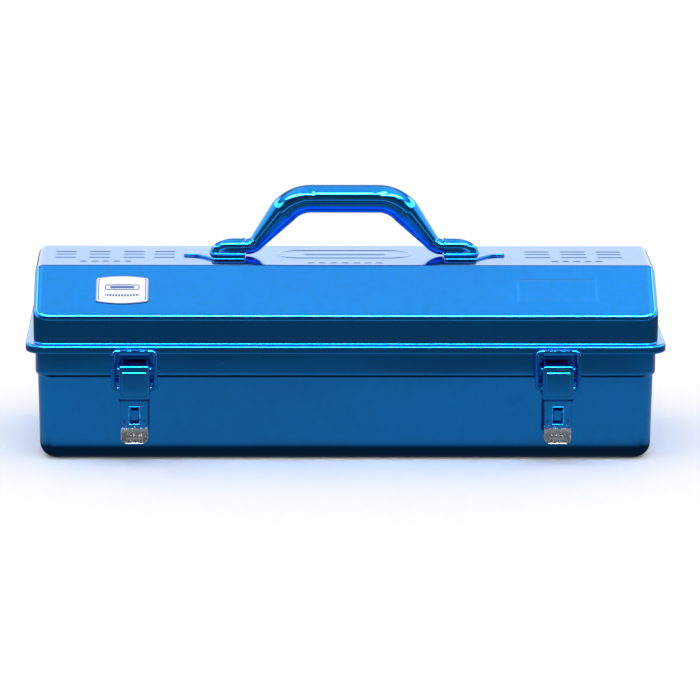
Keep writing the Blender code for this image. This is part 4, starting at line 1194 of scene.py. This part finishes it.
def catch_surface(middle, settings):
    """A strip drawn along X on a J path: stem, two quarter bends and a lip, its lip corners rounded in
    width."""
    wire = settings.wire_radius
    back = BAR_Y + wire + GAP
    lip = back - (2 * wire + GAP + CATCH_MOUTH)
    turn = CATCH_TURN
    bottom = BAR_Z - wire - GAP
    stem = np.stack([np.full(6, back), np.linspace(CATCH_STEM_TOP, bottom + turn, 6)], -1)
    lip_z = np.linspace(bottom + turn, BAR_Z + CATCH_LIP_ABOVE_BAR, 9)
    path = np.concatenate([
        stem, arc((back - turn, bottom + turn), turn, 0, -90, 8)[1:],
        arc((lip + turn, bottom + turn), turn, -90, -180, 8),
        np.stack([np.full(9, lip), lip_z], -1)[1:]])
    along = np.linspace(-1, 1, 41)
    left = np.zeros(len(path))
    left[-9:] = np.clip((lip_z - lip_z[-1] + 0.0014) / 0.0014, 0, 1)
    half = CATCH_HALF_WIDTH - 0.0014 * (1 - np.sqrt(1 - left ** 2))
    x = middle + half[:, None] * along
    y = np.repeat(path[:, :1], len(along), 1)
    z = np.repeat(path[:, 1:], len(along), 1)
    dip = 0.0003 * (1 - np.cos(np.pi * along) ** 2)
    z[-1] -= dip * (np.abs(along) < 0.9)
    return Shell().grid(np.stack([x, y, z], -1)).mesh("catch_surface", sharp=60)


def pin_surface(middle, reach, radius, head_radius, head, y, z):
    """A headed pin turned about X: its outline is the shank's radius and two domed heads, r sqrt(1 -
    t^2)."""
    t = np.linspace(0, 1, 7)
    dome_x = head * (0.35 + 0.65 * t)
    dome_r = head_radius * np.sqrt(np.maximum(1 - t ** 2, 0.0)) * 0.999 + 0.00001
    half = np.concatenate([
        [[0.0, radius], [reach - 0.00002, radius], [reach, head_radius - 0.0001],
        [reach + head * 0.2, head_radius]],
        np.stack([reach + dome_x, dome_r], -1)])
    whole = np.concatenate([half[:0:-1] * np.array([-1.0, 1.0]), half])
    a = np.linspace(0, 2 * np.pi, 32, endpoint=False)
    ring = np.stack([np.zeros_like(a), np.cos(a), np.sin(a)], -1)
    points = whole[:, 1][:, None, None] * ring + np.array([middle, y, z])
    points[..., 0] += whole[:, 0][:, None]
    shell = Shell().grid(points, wrap_columns=True)
    shell.cap(points[0]).cap(points[-1])
    return face_outwards(shell.mesh("pin_surface"))


# ---------------------------------------------------------------- hinges
HINGE_FROM_MIDDLE = 0.1300
HINGE_WIDTH = 0.0400
HINGE_SHEET = 0.0010


def hinge_leaf(middle, lid_side):
    """A strip drawn along X whose path (y, z) lies on a wall, steps out past the rim and rolls round
    the pin for 300 degrees; it is cut away where the other leaf's knuckles turn, and its far corners
    are rounded."""
    outer = HINGE_BARREL_RADIUS
    edge_y = HINGE_Y - outer
    if lid_side:
        wall = LID_HALF_Y + GAP
        over = RIM_TOP + GAP + 0.0016
        joggle = over + (edge_y - wall) * 0.4
        straight = [(wall, joggle + 0.0095), (wall, joggle), (edge_y, over)]
        roll = arc((HINGE_Y, HINGE_Z), outer, 180, 470, 40)
    else:
        wall = PAN_HALF_Y + GAP
        bend = HINGE_Z - outer - HINGE_SHEET
        foot = bend - (edge_y - wall)
        straight = [(wall, foot - 0.0230), (wall, foot), (edge_y, bend)]
        roll = arc((HINGE_Y, HINGE_Z), outer, 180, -110, 40)
    straight = np.array(straight)
    leaf_rows = np.concatenate([
        straight[0] + (straight[1] - straight[0]) * np.linspace(0, 1, 14)[:, None],
        straight[1] + (straight[2] - straight[1]) * np.linspace(0, 1, 6)[1:, None],
        straight[2] + (roll[0] - straight[2]) * np.linspace(0, 1, 5)[1:, None]])
    path = np.concatenate([leaf_rows, roll[1:]])
    barrel_row = len(leaf_rows) - 6
    third = HINGE_WIDTH / 3
    cuts = np.array([-third / 2 - GAP / 2, -third / 2 + GAP / 2, third / 2 - GAP / 2, third / 2 + GAP / 2])
    half = HINGE_WIDTH / 2
    along = np.unique(np.concatenate([np.linspace(-half, half, 25), cuts]))
    x = np.repeat(along[None, :], len(path), 0)
    corner = 0.0030
    near_end = np.clip(1 - np.abs(path[:, 1] - path[0, 1]) / corner, 0, 1)
    x = x * (1 - (corner / half) * (1 - np.sqrt(1 - near_end ** 2)))[:, None]
    y = np.repeat(path[:, :1], len(along), 1)
    z = np.repeat(path[:, 1:], len(along), 1)
    points = np.stack([middle + x, y, z], -1)
    cell = (along[:-1] + along[1:]) / 2
    rows = np.arange(len(path) - 1)
    in_middle = np.abs(cell) < third / 2
    on_edge = np.abs(np.abs(cell) - third / 2) < GAP / 2
    away = (~in_middle if lid_side else in_middle) | on_edge
    keep = ~((rows[:, None] >= barrel_row) & away[None, :])
    shell = Shell().grid(points, keep=keep)
    return shell.mesh("hinge_leaf_surface", sharp=60)


def face_along(mesh, direction):
    """Turns an open sheet over if its mean normal points away from the direction."""
    count = len(mesh.polygons)
    normals = np.zeros(count * 3)
    areas = np.zeros(count)
    mesh.polygons.foreach_get("normal", normals)
    mesh.polygons.foreach_get("area", areas)
    if (normals.reshape(-1, 3) * areas[:, None]).sum(0) @ np.array(direction) < 0:
        mesh.flip_normals()
    return mesh


# ---------------------------------------------------------------- operators
class TOOLBOX_OT_lid(bpy.types.Operator):
    """Camber lid with its pressed ribs, name frame, rim and rolled hem"""
    bl_idname = "toolbox.lid"
    bl_label = "Lid"

    def execute(self, context):
        scene = context.scene
        finish = finish_once("lid_enamel", blue_enamel, scene.toolbox_finish, 3.0, 0.0006)
        mesh = face_outwards(lid_shell_mesh(scene.toolbox_lid))
        new_piece("lid", mesh, finish, "lid", ["lid_shell"])
        return {"FINISHED"}


class TOOLBOX_OT_pan(bpy.types.Operator):
    """Deep-drawn base pan"""
    bl_idname = "toolbox.pan"
    bl_label = "Base pan"

    def execute(self, context):
        scene = context.scene
        finish = finish_once("pan_enamel", blue_enamel, scene.toolbox_finish, 11.0, 0.0009)
        mesh = base_pan_mesh(scene.toolbox_pan)
        new_piece("pan", mesh, finish, "root", ["base_pan"])
        return {"FINISHED"}


class TOOLBOX_OT_label(bpy.types.Operator):
    """Printed label on the front slope"""
    bl_idname = "toolbox.label"
    bl_label = "Label"

    def execute(self, context):
        finish = finish_once("label_print", printed_label, context.scene.toolbox_finish)
        mesh = face_along(label_surface(), (0, -1, 1))
        piece = new_piece("printed_plate", mesh, finish, "lid", ["label"])
        thicken(piece, 0.0003)
        return {"FINISHED"}


class TOOLBOX_OT_handle(bpy.types.Operator):
    """Carry handle"""
    bl_idname = "toolbox.handle"
    bl_label = "Handle"

    def execute(self, context):
        scene = context.scene
        finish = finish_once("handle_enamel", blue_enamel, scene.toolbox_finish, 23.0)
        new_piece("carry_grip", handle_surface(scene.toolbox_handle), finish, "carry_handle",
            ["handle"])
        return {"FINISHED"}


class TOOLBOX_OT_brackets(bpy.types.Operator):
    """The two bridge brackets that hold the handle's spigots"""
    bl_idname = "toolbox.brackets"
    bl_label = "Handle brackets"

    def execute(self, context):
        scene = context.scene
        finish = finish_once("bracket_enamel", blue_enamel, scene.toolbox_finish, 31.0)
        for name, side in SIDES:
            mesh = bracket_surface(side, scene.toolbox_handle)
            new_piece("bracket_" + name, mesh, finish, "lid", ["handle_bracket_" + name])
        return {"FINISHED"}


class TOOLBOX_OT_levers(bpy.types.Operator):
    """Latch levers with their pressed panel, window and bare thumb tip"""
    bl_idname = "toolbox.levers"
    bl_label = "Latch levers"

    def execute(self, context):
        scene = context.scene
        for number, (name, side) in enumerate(SIDES):
            finish = finish_once(
                "lever_enamel_" + name, tipped_enamel, scene.toolbox_finish, 41.0 + 7 * number,
                TIP_TOP_Z + 0.0012, 0.0070)
            mesh = face_along(lever_surface(side * LATCH_FROM_MIDDLE), (0, -1, 0))
            piece = new_piece("lever_" + name, mesh, finish, "lever_" + name,
                ["latch_lever_" + name])
            thicken(piece, scene.toolbox_latch.lever_sheet)
            soften(piece, 0.00022)
        return {"FINISHED"}


class TOOLBOX_OT_bails(bpy.types.Operator):
    """Wire bails"""
    bl_idname = "toolbox.bails"
    bl_label = "Wire bails"

    def execute(self, context):
        scene = context.scene
        rub = edge_rub(BAR_Z - 0.0016, BAR_Z + 0.0004, 2, 55.0)
        finish = finish_once("bail_enamel", blue_enamel, scene.toolbox_finish, 53.0, 0.0, rub)
        for name, side in SIDES:
            mesh = bail_surface(side * LATCH_FROM_MIDDLE, scene.toolbox_latch)
            new_piece("wire_bail_" + name, mesh, finish, "wire_" + name, ["bail_" + name])
        return {"FINISHED"}


class TOOLBOX_OT_catches(bpy.types.Operator):
    """Hooks on the hem that hold the bails"""
    bl_idname = "toolbox.catches"
    bl_label = "Catches"

    def execute(self, context):
        scene = context.scene
        finish = finish_once("catch_enamel", blue_enamel, scene.toolbox_finish, 61.0)
        for name, side in SIDES:
            mesh = face_along(catch_surface(side * LATCH_FROM_MIDDLE, scene.toolbox_latch), (0, 0, 1))
            piece = new_piece("hook_" + name, mesh, finish, "lid", ["catch_" + name])
            thicken(piece, scene.toolbox_latch.catch_sheet)
            soften(piece, 0.00022)
        return {"FINISHED"}


class TOOLBOX_OT_pins(bpy.types.Operator):
    """Lever pins and hinge pins with domed heads"""
    bl_idname = "toolbox.pins"
    bl_label = "Pins"

    def execute(self, context):
        scene = context.scene
        painted = finish_once("pin_enamel", blue_enamel, scene.toolbox_finish, 71.0)
        bright = finish_once("pin_steel", plated_steel, scene.toolbox_finish, 77.0)
        for name, side in SIDES:
            reach = LEVER_HALF_WIDTH + GAP
            mesh = pin_surface(
                side * LATCH_FROM_MIDDLE, reach, PIN_RADIUS, PIN_HEAD_RADIUS, 0.0008, LEVER_PIVOT_Y,
                LEVER_PIVOT_Z)
            new_piece("rivet_" + name, mesh, painted, "root", ["lever_pin_" + name])
            reach = HINGE_WIDTH / 2 + GAP
            mesh = pin_surface(side * HINGE_FROM_MIDDLE, reach, 0.0012, 0.0022, 0.0008, HINGE_Y, HINGE_Z)
            new_piece("hinge_rod_" + name, mesh, bright, "root", ["hinge_pin_" + name])
        return {"FINISHED"}


class TOOLBOX_OT_hinges(bpy.types.Operator):
    """Rolled hinge leaves on the pan and on the lid"""
    bl_idname = "toolbox.hinges"
    bl_label = "Hinges"

    def execute(self, context):
        scene = context.scene
        finish = finish_once("hinge_enamel", blue_enamel, scene.toolbox_finish, 83.0)
        for name, side in SIDES:
            for part, lid_side, body in (("body", False, "root"), ("lid", True, "lid")):
                mesh = face_along(hinge_leaf(side * HINGE_FROM_MIDDLE, lid_side), (0, -1, 0))
                piece = new_piece(
                    "leaf_%s_%s" % (part, name), mesh, finish, body,
                    ["hinge_leaf_%s_%s" % (part, name)])
                thicken(piece, HINGE_SHEET)
                soften(piece, 0.0002)
        return {"FINISHED"}


class TOOLBOX_OT_latch_bases(bpy.types.Operator):
    """Enamel on the latch bases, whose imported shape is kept"""
    bl_idname = "toolbox.latch_bases"
    bl_label = "Latch bases"

    def execute(self, context):
        finish = finish_once("base_enamel", blue_enamel, context.scene.toolbox_finish, 91.0)
        for name, _ in SIDES:
            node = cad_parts["latch_base_" + name]
            node.data.materials.clear()
            node.data.materials.append(finish)
        return {"FINISHED"}


# ---------------------------------------------------------------- stage
def floor_finish():
    """Pale matt floor. To glossy rays it is instead a glowing sheet of painted reflection: painted shade,
    dim beside the box, then brighter a hand away and dim again further out, so that a lit sweep with a dark
    surround is painted into the glossy enamel."""
    made = Finish("pale_floor")
    x, y, _ = made.axes(made.place())
    out_x = (abs(x) - RIM_HALF_X).clipped()
    out_y = (abs(y) - RIM_HALF_Y).clipped()
    away = (out_x * out_x + out_y * out_y).root()
    # painted shade and painted reflection: the glow that glossy rays see is dim close beside the box,
    # brighter a hand away, dimmer further out and brighter again far off
    near = away.ramp(-0.005, 0.045, 0.06, 1.0)
    middle = away.ramp(0.16, 0.34, 0.34, 0.105)
    far = away.ramp(0.9, 2.4, 0.0, 0.85)
    path = made.tree.nodes.new("ShaderNodeLightPath")
    glossy = Wire(made, path.outputs["Is Glossy Ray"])
    # painted reflection: the floor is no lamp, yet it glows to glossy rays only
    emission = made.add("ShaderNodeEmission",
        links={"Color": (1, 1, 1, 1), "Strength": near * middle + far})
    grain = made.noise(40.0, 2.0, 0.5)
    made.fill(made.surface, {"Base Color": (0.95, 0.95, 0.95, 1.0), "Roughness": 0.8 + grain * 0.1})
    surface = Wire(made, made.surface.outputs[0])
    mixed = made.add("ShaderNodeMixShader", links={0: glossy, 1: surface, 2: emission})
    made.tree.links.new(mixed.socket, made.tree.nodes["Material Output"].inputs["Surface"])
    return made.material


def studio_world(scene, settings):
    """A white room. In gloss it is bright low behind, dim in front and overhead, brighter over the
    box's two ends than over its middle, with one long bright strip high in front and weaker ones at the
    sides. The strips are seen by the first reflection only, so that they don't glow again where one
    blue face mirrors another."""
    world = bpy.data.worlds.new("studio")
    scene.world = world
    world.use_nodes = True
    made = Finish.__new__(Finish)
    made.tree = world.node_tree
    made.surface = world.node_tree.nodes["Background"]
    x, y, z = made.axes(made.add("ShaderNodeTexCoord", output="Generated"))
    path = made.tree.nodes.new("ShaderNodeLightPath")
    glossy = Wire(made, path.outputs["Is Glossy Ray"])
    camera = Wire(made, path.outputs["Is Camera Ray"])
    depth = Wire(made, path.outputs["Glossy Depth"])
    behind = y.ramp(-0.45, 0.05, 0.10, 1.0)
    low = z.ramp(0.34, 0.60, settings.sweep, 0.0)
    high = z.ramp(0.55, 0.85) * (settings.ceiling + abs(x).ramp(0.02, 0.30) * settings.ceiling_ends)
    # the strip stands between 46 and 58 degrees up: sin 46 = 0.72, sin 58 = 0.85
    strip = z.above(0.735, 0.05) * z.below(0.835, 0.05)
    front = strip * y.below(-0.30, 0.10) * settings.key_power
    sides = z.above(0.45, 0.03) * z.below(0.62, 0.03) * abs(x).above(0.60, 0.08) * settings.key_power * 0.12
    first = depth.below(1.5, 0.1)
    gloss = behind * low + high + (front + sides) * first
    strength = glossy * gloss + camera + (1 - glossy) * (1 - camera) * settings.room
    made.fill(made.surface, {"Color": (1, 1, 1, 1), "Strength": strength})


class TOOLBOX_OT_stage(bpy.types.Operator):
    """Pale floor, soft studio light and the camera"""
    bl_idname = "toolbox.stage"
    bl_label = "Stage"

    def execute(self, context):
        scene = context.scene
        settings = scene.toolbox_stage
        corners = np.array([(-14, -14, 0), (14, -14, 0), (14, 14, 0), (-14, 14, 0)], float)
        mesh = Shell().cap(corners).mesh("floor_surface")
        mesh.materials.append(floor_finish())
        floor = bpy.data.objects.new("floor", mesh)
        scene.collection.objects.link(floor)
        studio_world(scene, settings)
        scene.view_settings.view_transform = "Standard"
        self.place_camera(scene, settings)
        return {"FINISHED"}

    def place_camera(self, scene, settings):
        data = bpy.data.cameras.new("camera")
        data.sensor_width = 36.0
        data.lens = settings.lens
        data.clip_end = 60.0
        camera = bpy.data.objects.new("camera", data)
        scene.collection.objects.link(camera)
        goal = Vector((0.0040, 0.0, 0.0572))
        turn, height = settings.camera_turn, settings.camera_height
        back = Vector(
            (-math.sin(turn) * math.cos(height), -math.cos(turn) * math.cos(height), math.sin(height)))
        camera.location = goal + back * settings.camera_distance
        look = (-back).to_track_quat("-Z", "Y").to_matrix().to_4x4()
        camera.rotation_euler = (look @ Matrix.Rotation(settings.camera_roll, 4, "Z")).to_euler()
        scene.camera = camera


class TOOLBOX_PT_panel(bpy.types.Panel):
    """Lists the tool box's pieces"""
    bl_label = "Tool Box"
    bl_idname = "TOOLBOX_PT_panel"
    bl_space_type = "VIEW_3D"
    bl_region_type = "UI"
    bl_category = "Tool Box"

    def draw(self, context):
        for operator in OPERATORS:
            self.layout.operator(operator.bl_idname)
        for name, _ in SETTINGS:
            group = getattr(context.scene, name)
            box = self.layout.box()
            for key in group.bl_rna.properties.keys():
                if key not in ("rna_type", "name"):
                    box.prop(group, key)


OPERATORS = (
    TOOLBOX_OT_pan, TOOLBOX_OT_lid, TOOLBOX_OT_label, TOOLBOX_OT_handle, TOOLBOX_OT_brackets,
    TOOLBOX_OT_hinges,
    TOOLBOX_OT_pins, TOOLBOX_OT_latch_bases, TOOLBOX_OT_levers, TOOLBOX_OT_bails, TOOLBOX_OT_catches,
    TOOLBOX_OT_stage)
SETTINGS = (
    ("toolbox_finish", ToolBoxFinishSettings), ("toolbox_lid", ToolBoxLidSettings),
    ("toolbox_pan", ToolBoxPanSettings), ("toolbox_handle", ToolBoxHandleSettings),
    ("toolbox_latch", ToolBoxLatchSettings), ("toolbox_stage", ToolBoxStageSettings))


def register():
    for name, group in SETTINGS:
        bpy.utils.register_class(group)
        setattr(bpy.types.Scene, name, PointerProperty(type=group))
    for operator in OPERATORS:
        bpy.utils.register_class(operator)
    bpy.utils.register_class(TOOLBOX_PT_panel)


def unregister():
    bpy.utils.unregister_class(TOOLBOX_PT_panel)
    for operator in reversed(OPERATORS):
        bpy.utils.unregister_class(operator)
    for name, group in reversed(SETTINGS):
        delattr(bpy.types.Scene, name)
        bpy.utils.unregister_class(group)


def main():
    register()
    for operator in OPERATORS:
        group, name = operator.bl_idname.split(".")
        getattr(getattr(bpy.ops, group), name)()


if __name__ == "__main__":
    main()
